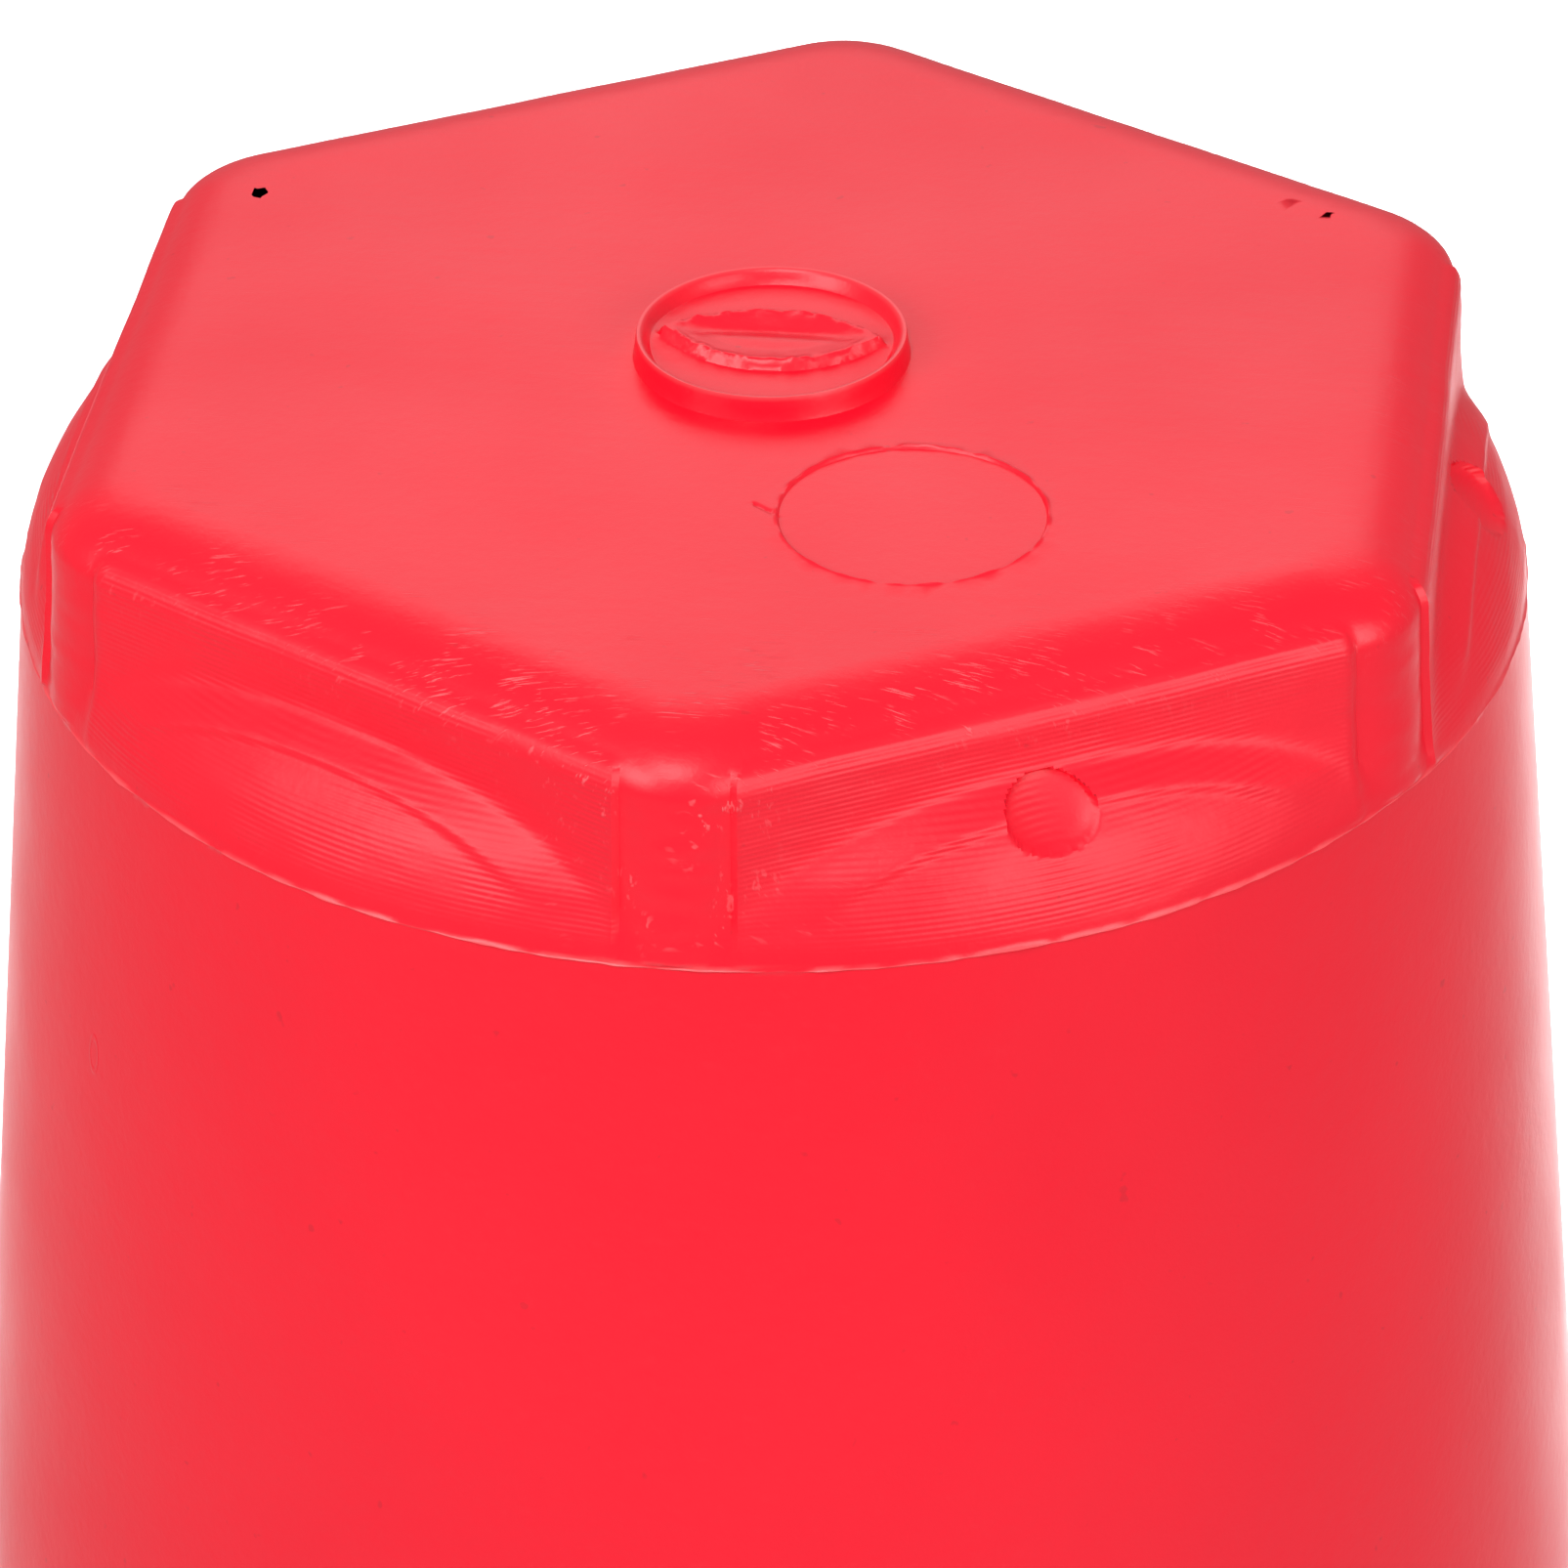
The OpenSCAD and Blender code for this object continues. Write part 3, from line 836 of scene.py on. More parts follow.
def head_cavity_rings(columns):
    """Rings of the hollow inside the head, from just above the join upwards."""
    h, s = head(), sizes()
    z0 = shoulder_z()
    side = s.shoulder_r - s.wall
    centre_r = s.shoulder_r - math.sqrt(h.dome_r**2 - h.dome_drop**2)
    neck_r = h.apothem_low - s.wall - 1
    points = [(column_r(z0 - 2) - s.wall, z0 - 2), (side - 0.05, z0 - h.dome_drop)]
    for k in range(1, 8):
        angle = math.radians(10 * k)
        inner = h.dome_r - s.wall
        points.append((centre_r + inner * math.cos(angle), z0 - h.dome_drop + inner * math.sin(angle)))
    points += [(neck_r, HEAD_TOP - s.wall - 2), (neck_r - 2, HEAD_TOP - s.wall)]
    return [[on_circle(r, TAU * j / columns, z) for j in range(columns)] for r, z in points]


def open_join(bm):
    """Removes the flat cap at the join, and returns the outer and the inner loop."""
    join = (shoulder_z() - sizes().join_drop) * MM
    flat = [f for f in bm.faces if all(abs(v.co.z - join) < 2e-5 for v in f.verts)]
    bmesh.ops.delete(bm, geom=flat, context="FACES")
    loop = {v for e in bm.edges if len(e.link_faces) == 1 for v in e.verts}
    limit = (sizes().shoulder_r - sizes().wall / 2) * MM
    outer = [v for v in loop if math.hypot(v.co.x, v.co.y) > limit]
    inner = [v for v in loop if math.hypot(v.co.x, v.co.y) <= limit]
    return outer, inner


def add_body_marks(obj):
    """Stores where the pads, the scuffed edges and the top are, for the material, and a seam mark that paints
    a highlight along the flash line and the rim's thin lip.
    """
    h = head()
    mesh = obj.data
    marks = {"pad": [], "scuff": [], "top": [], "seam": []}
    corner = math.radians(-90)
    for v in mesh.vertices:
        x, y, z = (c / MM for c in v.co)
        rise = z - shoulder_z()
        azimuth = math.atan2(y, x)
        on_wall = step(0.6, 2.5, rise) * (1 - step(h.height - 2.8, h.height - 2.2, rise))
        marks["pad"].append(on_wall * pad_share(azimuth, 1.5))
        turn = abs(math.remainder(azimuth - corner, TAU))
        front = 1 - step(0.25, 1.35, turn)
        edge = bump(rise - 16.6, 2.4) * step(40, 48, math.hypot(x, y))
        post = bump(turn, 0.16) * step(0, 4, rise) * step(35, 50, math.hypot(x, y))
        marks["scuff"].append(min(1.0, edge * (0.25 + 0.75 * front) + 0.8 * post))
        marks["top"].append(step(h.height - 0.5, h.height - 0.1, rise))
        # seam: painted highlight, a light line along the crest of the flash line and of the rim's thin lip
        proud = math.hypot(x, y) - sizes().shoulder_r
        rim = bump(math.hypot(x, y) - h.rim_r + 0.2, 0.22) * step(h.height + 1.7, h.height + 1.95, rise)
        marks["seam"].append(max(step(0.03, 0.12, proud) * bump(rise, 0.35), 0.7 * rim))
    for name, values in marks.items():
        mesh.attributes.new(name, "FLOAT", "POINT").data.foreach_set("value", values)


def build_body():
    """Joins the fine head, the lower body and the hollow inside the head into one shell."""
    body = lower_body()
    bm = bmesh.new()
    bm.from_mesh(body.data)
    bmesh.ops.remove_doubles(bm, verts=bm.verts, dist=2e-6)
    outer, inner = open_join(bm)
    azimuths = head_azimuths()
    rows = add_rings(bm, head_rings(azimuths))
    zip_rings(bm, outer, rows[0])
    cavity = add_rings(bm, head_cavity_rings(96))
    zip_rings(bm, inner, cavity[0])
    lid = bm.verts.new((0, 0, (HEAD_TOP - sizes().wall) * MM))
    for j, v in enumerate(cavity[-1]):
        bm.faces.new((v, cavity[-1][(j + 1) % len(cavity[-1])], lid))
    outline = [(v.co.x / MM, v.co.y / MM) for v in rows[-1]]
    verts, faces = top_triangles(outline)
    top = list(rows[-1])
    for p in verts[len(outline):]:
        top.append(bm.verts.new((p.x * MM, p.y * MM, top_height(p.x, p.y) * MM)))
    for face in faces:
        bm.faces.new([top[k] for k in face])
    bm.to_mesh(body.data)
    bm.free()
    body.name = body.data.name = "moulded_body"
    finish_mesh(body, 34)
    body.data.materials.clear()
    body.data.materials.append(red_plastic())
    add_body_marks(body)
    return body


# ---------------------------------------------------------------- shader node groups


def new_group(name, inputs, outputs):
    """Empty shader node group; inputs are (name, kind, default)."""
    tree = bpy.data.node_groups.new(name, "ShaderNodeTree")
    for socket, kind, default in inputs:
        item = tree.interface.new_socket(name=socket, in_out="INPUT", socket_type=kind)
        if default is not None:
            item.default_value = default
    for socket, kind in outputs:
        tree.interface.new_socket(name=socket, in_out="OUTPUT", socket_type=kind)
    return tree, tree.nodes.new("NodeGroupInput"), tree.nodes.new("NodeGroupOutput")


def add_math(tree, operation, a, b=None, clamp=False):
    """Math node whose operands are sockets or numbers."""
    node = tree.nodes.new("ShaderNodeMath")
    node.operation = operation
    node.use_clamp = clamp
    for socket, value in zip(node.inputs, (a, b)):
        if value is None:
            continue
        if isinstance(value, (int, float)):
            socket.default_value = value
        else:
            tree.links.new(value, socket)
    return node.outputs[0]


def add_range(tree, value, low, high, to_low=0.0, to_high=1.0):
    node = tree.nodes.new("ShaderNodeMapRange")
    for socket, number in zip(node.inputs[1:5], (low, high, to_low, to_high)):
        socket.default_value = number
    tree.links.new(value, node.inputs[0])
    return node.outputs[0]


def add_noise(tree, vector, scale, detail=3.0, rough=0.5):
    """Noise texture; scale is a number or a socket."""
    node = tree.nodes.new("ShaderNodeTexNoise")
    node.inputs["Detail"].default_value = detail
    node.inputs["Roughness"].default_value = rough
    if isinstance(scale, (int, float)):
        node.inputs["Scale"].default_value = scale
    else:
        tree.links.new(scale, node.inputs["Scale"])
    tree.links.new(vector, node.inputs["Vector"])
    return node.outputs["Fac"]


def add_mapping(tree, vector, turn=(0, 0, 0), scale=(1, 1, 1)):
    node = tree.nodes.new("ShaderNodeMapping")
    node.inputs["Rotation"].default_value = turn
    node.inputs["Scale"].default_value = scale
    tree.links.new(vector, node.inputs["Vector"])
    return node.outputs["Vector"]


def surface_grain_group():
    """Fine grain of a moulded surface, at a chosen scale."""
    tree = bpy.data.node_groups.get("surface_grain")
    if tree:
        return tree
    inputs = [("Vector", "NodeSocketVector", None), ("Scale", "NodeSocketFloat", 900.0)]
    tree, start, end = new_group("surface_grain", inputs, [("Height", "NodeSocketFloat")])
    fine = add_noise(tree, start.outputs["Vector"], start.outputs["Scale"], 4.0, 0.6)
    broad_scale = add_math(tree, "MULTIPLY", start.outputs["Scale"], 0.11)
    broad = add_noise(tree, start.outputs["Vector"], broad_scale, 2.0)
    total = add_math(tree, "ADD", fine, add_math(tree, "MULTIPLY", broad, 2.2))
    tree.links.new(total, end.inputs["Height"])
    return tree


def scratch_group():
    """Short bright scratches in patches; Amount from 0 to 1 says how many."""
    tree = bpy.data.node_groups.get("scratches")
    if tree:
        return tree
    inputs = [("Vector", "NodeSocketVector", None), ("Amount", "NodeSocketFloat", 0.5)]
    tree, start, end = new_group("scratches", inputs, [("Mask", "NodeSocketFloat")])
    marks = []
    for turn, stretch in ((0.5, 4200.0), (-0.8, 3600.0), (1.7, 5200.0)):
        along = add_mapping(tree, start.outputs["Vector"], (0.4 * turn, 0.3, turn), (260.0, stretch, 900.0))
        lines = add_noise(tree, along, 1.0, 2.0, 0.6)
        marks.append(add_range(tree, lines, 0.64, 0.7))
    patches = add_range(tree, add_noise(tree, start.outputs["Vector"], 240.0, 3.0), 0.45, 0.62)
    both = add_math(tree, "MAXIMUM", add_math(tree, "MAXIMUM", marks[0], marks[1]), marks[2])
    patchy = add_math(tree, "MULTIPLY", both, patches)
    mask = add_math(tree, "MULTIPLY", patchy, start.outputs["Amount"], True)
    tree.links.new(mask, end.inputs["Mask"])
    return tree


def tool_line_group():
    """Fine level lines that a milled mould leaves; Pitch is in metres."""
    tree = bpy.data.node_groups.get("tool_lines")
    if tree:
        return tree
    inputs = [("Vector", "NodeSocketVector", None), ("Pitch", "NodeSocketFloat", 0.00043)]
    tree, start, end = new_group("tool_lines", inputs, [("Height", "NodeSocketFloat")])
    split = tree.nodes.new("ShaderNodeSeparateXYZ")
    tree.links.new(start.outputs["Vector"], split.inputs[0])
    drift = add_noise(tree, start.outputs["Vector"], 60.0, 1.0)
    turns = add_math(tree, "DIVIDE", split.outputs["Z"], start.outputs["Pitch"])
    phase = add_math(tree, "MULTIPLY", add_math(tree, "ADD", turns, drift), TAU)
    strength = add_range(tree, add_noise(tree, start.outputs["Vector"], 140.0, 2.0), 0.35, 0.65)
    tree.links.new(add_math(tree, "MULTIPLY", add_math(tree, "SINE", phase), strength), end.inputs["Height"])
    return tree


# ---------------------------------------------------------------- materials


def use_group(tree, group, vector, **values):
    node = tree.nodes.new("ShaderNodeGroup")
    node.node_tree = group
    tree.links.new(vector, node.inputs["Vector"])
    for name, value in values.items():
        socket = node.inputs[name]
        if isinstance(value, (int, float)):
            socket.default_value = value
        else:
            tree.links.new(value, socket)
    return node.outputs[0]


def base_material(name, colour, roughness, ior=1.5):
    """Material with a Principled shader; returns it with its tree, shader and coordinates."""
    material = bpy.data.materials.new(name)
    material.use_nodes = True
    tree = material.node_tree
    shader = next(n for n in tree.nodes if n.type == "BSDF_PRINCIPLED")
    shader.inputs["Base Color"].default_value = (*colour, 1)
    shader.inputs["Roughness"].default_value = roughness
    shader.inputs["IOR"].default_value = ior
    material.diffuse_color = (*colour, 1)
    coordinates = tree.nodes.new("ShaderNodeTexCoord").outputs["Object"]
    return material, tree, shader, coordinates


def mix_colour(tree, factor, a, b):
    """Mix node between two colours, given as tuples or sockets."""
    node = tree.nodes.new("ShaderNodeMix")
    node.data_type = "RGBA"
    tree.links.new(factor, node.inputs[0])
    for socket, value in ((node.inputs[6], a), (node.inputs[7], b)):
        if isinstance(value, tuple):
            socket.default_value = (*value, 1)
        else:
            tree.links.new(value, socket)
    return node.outputs[2]


def add_bump(tree, shader, height, distance, strength=1.0):
    """Bump on the shader's normal; several of them are chained."""
    node = tree.nodes.new("ShaderNodeBump")
    node.inputs["Distance"].default_value = distance
    node.inputs["Strength"].default_value = strength
    tree.links.new(height, node.inputs["Height"])
    links = shader.inputs["Normal"].links
    if links:
        tree.links.new(links[0].from_socket, node.inputs["Normal"])
    tree.links.new(node.outputs["Normal"], shader.inputs["Normal"])


def scaled(colour, factor):
    return tuple(min(c * factor, 1.0) for c in colour)


def attribute(tree, name):
    node = tree.nodes.new("ShaderNodeAttribute")
    node.attribute_name = name
    return node.outputs["Fac"]


def red_plastic():
    """Red polyethylene: satin, with grain, wrinkles on top, tool lines on the pads and scuffs, and a painted
    highlight along the flash line and the rim's lip.
    """
    f = finish()
    red = tuple(f.red)
    material, tree, shader, place = base_material("red_polyethylene", red, f.red_rough)
    broad = add_range(tree, add_noise(tree, place, 22.0, 3.0), 0.3, 0.7)
    tone = mix_colour(tree, broad, scaled(red, 0.955), scaled(red, 1.02))
    specks = add_range(tree, add_noise(tree, place, 620.0, 2.0), 0.73, 0.78, 0.0, 0.35)
    tone = mix_colour(tree, specks, tone, (0.55, 0.01, 0.02))
    scuff = attribute(tree, "scuff")
    amount = add_math(tree, "ADD", add_math(tree, "MULTIPLY", scuff, 1.0), 0.02, True)
    marks = use_group(tree, scratch_group(), place, Amount=amount)
    tone = mix_colour(tree, add_math(tree, "MULTIPLY", marks, 0.5), tone, (1.0, 0.24, 0.26))
    # painted highlight: the seam mark lightens the flash line and the rim's lip towards pale red
    tone = mix_colour(tree, add_math(tree, "MULTIPLY", attribute(tree, "seam"), 0.3), tone, (1.0, 0.3, 0.3))
    tree.links.new(tone, shader.inputs["Base Color"])
    gloss = add_noise(tree, place, 45.0, 4.0)
    rough = add_range(tree, gloss, 0.25, 0.75, f.red_rough - 0.04, f.red_rough + 0.05)
    rough = add_math(tree, "ADD", rough, add_math(tree, "MULTIPLY", marks, 0.2))
    pad = attribute(tree, "pad")
    rough = add_math(tree, "ADD", rough, add_math(tree, "MULTIPLY", pad, 0.08))
    tree.links.new(rough, shader.inputs["Roughness"])
    grain = use_group(tree, surface_grain_group(), place, Scale=900.0)
    wrinkle_place = add_mapping(tree, place, (0, 0, 0.12), (90.0, 420.0, 90.0))
    wrinkles = add_noise(tree, wrinkle_place, 1.0, 3.0)
    wrinkle_patch = add_range(tree, add_noise(tree, place, 30.0, 2.0), 0.4, 0.62)
    top_only = add_math(tree, "MULTIPLY", attribute(tree, "top"), wrinkle_patch)
    wrinkles = add_math(tree, "MULTIPLY", wrinkles, top_only)
    lines = use_group(tree, tool_line_group(), place, Pitch=f.line_pitch * MM)
    lines = add_math(tree, "MULTIPLY", lines, pad)
    height = add_math(tree, "MULTIPLY", grain, 0.00004)
    oval = oval_mark(tree, place)
    for relief, size in ((wrinkles, 0.00006), (lines, 0.000016), (marks, 0.00003), (oval, 0.00005)):
        height = add_math(tree, "ADD", height, add_math(tree, "MULTIPLY", relief, size))
    add_bump(tree, shader, height, 1.0)
    return material


def oval_mark(tree, place):
    """Mask of the faint oval line that a vent in the mould leaves on the column."""
    split = tree.nodes.new("ShaderNodeSeparateXYZ")
    tree.links.new(place, split.inputs[0])
    turn = add_math(tree, "ARCTAN2", split.outputs["Y"], split.outputs["X"])
    across = add_math(tree, "MULTIPLY", add_math(tree, "ADD", turn, math.radians(142)), 95.0)
    height = (shoulder_z() - 26.0) * MM
    up = add_math(tree, "DIVIDE", add_math(tree, "SUBTRACT", split.outputs["Z"], height), 0.0015)
    squares = [add_math(tree, "MULTIPLY", value, value) for value in (across, up)]
    reach = add_math(tree, "SQRT", add_math(tree, "ADD", *squares))
    away = add_math(tree, "ABSOLUTE", add_math(tree, "SUBTRACT", reach, 1.0))
    return add_range(tree, away, 0.1, 0.25, 1.0, 0.0)


def plain_plastic(name, colour, roughness, grain=700.0, depth=0.00004):
    """Moulded plastic with grain, slightly uneven colour and light wear."""
    material, tree, shader, place = base_material(name, colour, roughness)
    broad = add_noise(tree, place, 60.0, 3.0)
    tone = mix_colour(tree, broad, scaled(colour, 0.85), scaled(colour, 1.15))
    marks = use_group(tree, scratch_group(), place, Amount=0.35)
    tone = mix_colour(tree, add_math(tree, "MULTIPLY", marks, 0.35), tone, scaled(colour, 3.0))
    tree.links.new(tone, shader.inputs["Base Color"])
    rough = add_range(tree, broad, 0.2, 0.8, roughness - 0.06, roughness + 0.08)
    tree.links.new(rough, shader.inputs["Roughness"])
    add_bump(tree, shader, use_group(tree, surface_grain_group(), place, Scale=grain), depth)
    return material


def reflective_sheeting():
    """White retroreflective sheeting: a honeycomb of sealed cells under a clear, smooth film."""
    white = tuple(finish().sheet)
    material, tree, shader, place = base_material("reflective_sheeting", white, 0.25)
    split = tree.nodes.new("ShaderNodeSeparateXYZ")
    tree.links.new(place, split.inputs[0])
    around = add_math(tree, "ARCTAN2", split.outputs["Y"], split.outputs["X"])
    along = add_math(tree, "MULTIPLY", around, 0.085)
    cells = []
    for shift in (0.0, 0.5):
        parts = []
        for value, pitch in ((along, 0.0043), (split.outputs["Z"], 0.00745)):
            turns = add_math(tree, "ADD", add_math(tree, "DIVIDE", value, pitch), shift)
            centred = add_math(tree, "SUBTRACT", add_math(tree, "FRACT", turns), 0.5)
            parts.append(add_math(tree, "MULTIPLY", add_math(tree, "ABSOLUTE", centred), pitch))
        slant = [add_math(tree, "MULTIPLY", part, share) for part, share in zip(parts, (0.5, 0.866))]
        hexed = add_math(tree, "ADD", *slant)
        cells.append(add_math(tree, "MAXIMUM", hexed, parts[0]))
    nearest = add_math(tree, "MINIMUM", cells[0], cells[1])
    border = add_range(tree, nearest, 0.00185, 0.00205)
    tone = mix_colour(tree, border, scaled(white, 0.86), scaled(white, 1.15))
    tree.links.new(tone, shader.inputs["Base Color"])
    tree.links.new(add_range(tree, nearest, 0.00185, 0.00205, 0.18, 0.42), shader.inputs["Roughness"])
    add_bump(tree, shader, border, 0.00006)
    shader.inputs["Metallic"].default_value = 0.25
    shader.inputs["Coat Weight"].default_value = 0.5
    shader.inputs["Coat Roughness"].default_value = 0.08
    return material


def rubber():
    """Matte black rubber with a dusty bloom."""
    colour = tuple(finish().rubber)
    material, tree, shader, place = base_material("black_rubber", colour, 0.72)
    dust = add_range(tree, add_noise(tree, place, 90.0, 5.0, 0.65), 0.42, 0.75)
    tree.links.new(mix_colour(tree, dust, colour, scaled(colour, 2.4)), shader.inputs["Base Color"])
    tree.links.new(add_range(tree, dust, 0.0, 1.0, 0.62, 0.85), shader.inputs["Roughness"])
    add_bump(tree, shader, use_group(tree, surface_grain_group(), place, Scale=1300.0), 0.00006)
    return material


def floor_paper():
    """Pale studio floor."""
    grey = bpy.context.scene.barrier_studio.floor_grey
    material, tree, shader, place = base_material("studio_floor", (grey, grey, grey), 0.85)
    uneven = add_noise(tree, place, 4.0, 2.0)
    tone = mix_colour(tree, uneven, (0.995 * grey,) * 3, (grey,) * 3)
    tree.links.new(tone, shader.inputs["Base Color"])
    return material


def shared_material(name, make, *values):
    return bpy.data.materials.get(name) or make(*values)


def shared_plastic(name, colour, roughness):
    return shared_material(name, plain_plastic, name, colour, roughness)


def black_plastic():
    return shared_plastic("black_plastic", tuple(finish().black), 0.42)


def black_rubber():
    return shared_material("black_rubber", rubber)


# ---------------------------------------------------------------- screw caps, seals and trim


def place_piece(obj, body, slot, *nodes):
    """Puts a finished piece on its body, in place of its CAD nodes."""
    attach(obj, body)
    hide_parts(*nodes)


def filler_frame():
    """Origin and direction of the filler's axis."""
    return (0.0, boss_face(sizes().filler), sizes().filler), (0, 1, 0)


def drain_frame():
    return (sizes().drain_depth - FOOT_APOTHEM, 0.0, sizes().drain), (-1, 0, 0)


def rib_tree(material):
    """Geometry Nodes tree: upright half-round ribs evenly spaced around a circle."""
    tree = bpy.data.node_groups.new("grip_ribs", "GeometryNodeTree")
    inputs = {}
    for name, kind, value in (
        ("Count", "NodeSocketInt", 24), ("Radius", "NodeSocketFloat", 0.0284),
        ("Rib radius", "NodeSocketFloat", 0.0015), ("Rib length", "NodeSocketFloat", 0.016),
        ("Rib middle", "NodeSocketFloat", 0.013),
    ):
        item = tree.interface.new_socket(name=name, in_out="INPUT", socket_type=kind)
        item.default_value = value
        inputs[name] = item.identifier
    tree.interface.new_socket(name="Geometry", in_out="OUTPUT", socket_type="NodeSocketGeometry")
    start = tree.nodes.new("NodeGroupInput")
    circle = tree.nodes.new("GeometryNodeMeshCircle")
    rib = tree.nodes.new("GeometryNodeMeshCylinder")
    rib.inputs["Vertices"].default_value = 20
    dome = tree.nodes.new("GeometryNodeMeshUVSphere")
    dome.inputs["Segments"].default_value = 20
    dome.inputs["Rings"].default_value = 8
    lift = tree.nodes.new("ShaderNodeCombineXYZ")
    shift = tree.nodes.new("GeometryNodeTransform")
    rise = tree.nodes.new("ShaderNodeCombineXYZ")
    move = tree.nodes.new("GeometryNodeTransform")
    both = tree.nodes.new("GeometryNodeJoinGeometry")
    scatter = tree.nodes.new("GeometryNodeInstanceOnPoints")
    real = tree.nodes.new("GeometryNodeRealizeInstances")
    paint = tree.nodes.new("GeometryNodeSetMaterial")
    paint.inputs["Material"].default_value = material
    end = tree.nodes.new("NodeGroupOutput")
    half = add_math(tree, "MULTIPLY", start.outputs["Rib length"], 0.5)
    links = tree.links
    links.new(start.outputs["Count"], circle.inputs["Vertices"])
    links.new(start.outputs["Radius"], circle.inputs["Radius"])
    links.new(start.outputs["Rib radius"], rib.inputs["Radius"])
    links.new(start.outputs["Rib length"], rib.inputs["Depth"])
    links.new(start.outputs["Rib radius"], dome.inputs["Radius"])
    links.new(half, lift.inputs["Z"])
    links.new(dome.outputs["Mesh"], shift.inputs["Geometry"])
    links.new(lift.outputs[0], shift.inputs["Translation"])
    links.new(rib.outputs["Mesh"], both.inputs[0])
    links.new(shift.outputs["Geometry"], both.inputs[0])
    links.new(both.outputs[0], move.inputs["Geometry"])
    links.new(start.outputs["Rib middle"], rise.inputs["Z"])
    links.new(rise.outputs[0], move.inputs["Translation"])
    links.new(circle.outputs["Mesh"], scatter.inputs["Points"])
    links.new(move.outputs["Geometry"], scatter.inputs["Instance"])
    links.new(scatter.outputs["Instances"], real.inputs[0])
    links.new(real.outputs[0], paint.inputs["Geometry"])
    links.new(paint.outputs["Geometry"], end.inputs[0])
    return tree, inputs


def grip_ribs(material, **values):
    """Plain mesh of the ribs, around local Z."""
    tree, inputs = rib_tree(material)
    obj = new_object("grip_ribs", [], [], material)
    modifier = obj.modifiers.new("ribs", "NODES")
    modifier.node_group = tree
    for name, value in values.items():
        modifier[inputs[name.replace("_", " ")]] = value
    bpy.context.view_layer.update()
    return baked(obj)


def build_filler_cap():
    """Ribbed screw cap with a dished top and a thread inside."""
    origin, direction = filler_frame()
    plastic = black_plastic()
    profile = [
        (24.4, 4.0, 0), (27.6, 4.0, 0.5), (28.4, 5.2, 0.5), (28.4, 23.5, 2.2), (22.5, 23.5, 0.5),
        (21.8, 22.4, 0.5), (9.0, 22.4, 0.6), (8.0, 23.3, 0.6), (0.0, 23.3, 0), (0.0, 20.0, 0),
        (24.4, 20.0, 0.8), (24.4, 4.0, 0),
    ]
    shell = lathe("filler_cap_shell", profile, origin, direction, plastic)
    ribs = grip_ribs(plastic, Count=24, Radius=28.3 * MM, Rib_radius=1.25 * MM, Rib_length=13.5 * MM,
                     Rib_middle=13.4 * MM)
    ribs.data.transform(axis_matrix(origin, direction))
    finish_mesh(ribs)
    thread = screw_ridge("cap_thread", 24.4, -1.4, 4.0, 1.25, 9.0, (2.0, 1.0), origin, direction, plastic)
    return joined("screw_cap", [shell, ribs, thread])


def build_filler_neck():
    """Welded neck: flange, threaded barrel and a tail inside the boss."""
    origin, direction = filler_frame()
    red = plain_plastic("neck_polyethylene", scaled(tuple(finish().red), 0.9), 0.4)
    profile = [
        (19.6, -8.0, 0), (21.9, -8.0, 0.5), (21.9, 0.0, 0), (31.6, 0.0, 0.3), (31.6, 3.0, 0.8),
        (22.6, 3.0, 0.8), (22.6, 18.0, 0.6), (19.6, 18.0, 0.6), (19.6, -8.0, 0),
    ]
    barrel = lathe("neck_barrel", profile, origin, direction, red)
    thread = screw_ridge("neck_thread", 22.6, 1.4, 4.0, 1.5, 7.0, (2.2, 1.2), origin, direction, red)
    return joined("welded_neck", [barrel, thread])


def build_filler_gasket():
    origin, direction = filler_frame()
    profile = [(19.6, 18.02, 0), (23.6, 18.02, 0.4), (23.6, 19.98, 0.4), (19.6, 19.98, 0.4), (19.6, 18.02, 0)]
    return lathe("cap_gasket", profile, origin, direction, black_rubber())


def build_drain_fitting():
    """Welded threaded fitting at the back of the drain's recess."""
    origin, direction = drain_frame()
    plastic = black_plastic()
    profile = [
        (10.6, -15.0, 0), (13.9, -15.0, 0.6), (13.9, 0.0, 0), (20.0, 0.0, 0.3), (20.0, 3.0, 0.9),
        (10.6, 3.0, 0.4), (10.6, -15.0, 0),
    ]
    barrel = lathe("fitting_barrel", profile, origin, direction, plastic)
    thread = screw_ridge("fitting_thread", 10.6, -1.0, 3.0, 1.5, -8.0, (1.6, 0.8), origin, direction, plastic)
    return joined("threaded_drain_fitting", [barrel, thread])


def build_drain_seal():
    """Sealing ring under the drain plug's head."""
    origin, direction = drain_frame()
    middle_r, middle_z, cord_r = 13.1, 4.3, 1.28
    turns = [TAU * k / 16 for k in range(17)]
    points = [(middle_r + cord_r * math.cos(a), middle_z + cord_r * math.sin(a), 0) for a in turns]
    return lathe("drain_seal_ring", points, origin, direction, black_rubber())


WING_REACH = 14.0
WING_FOOT = 9.6


def wing_outline(steps=14):
    """Outline of the plug's wings seen from the side: two rounded ears with a dip between them."""
    points = []
    for k in range(steps + 1):
        share = k / steps
        along = WING_REACH * (2 * share - 1)
        rise = 7.5 + 5.4 * abs(math.sin(math.pi * share - math.pi / 2)) ** 0.8
        corner = min(max((WING_REACH - abs(along)) / 3.0, 0.0), 1.0)
        points.append((along, WING_FOOT + rise * (0.55 + 0.45 * math.sqrt(corner))))
    return points


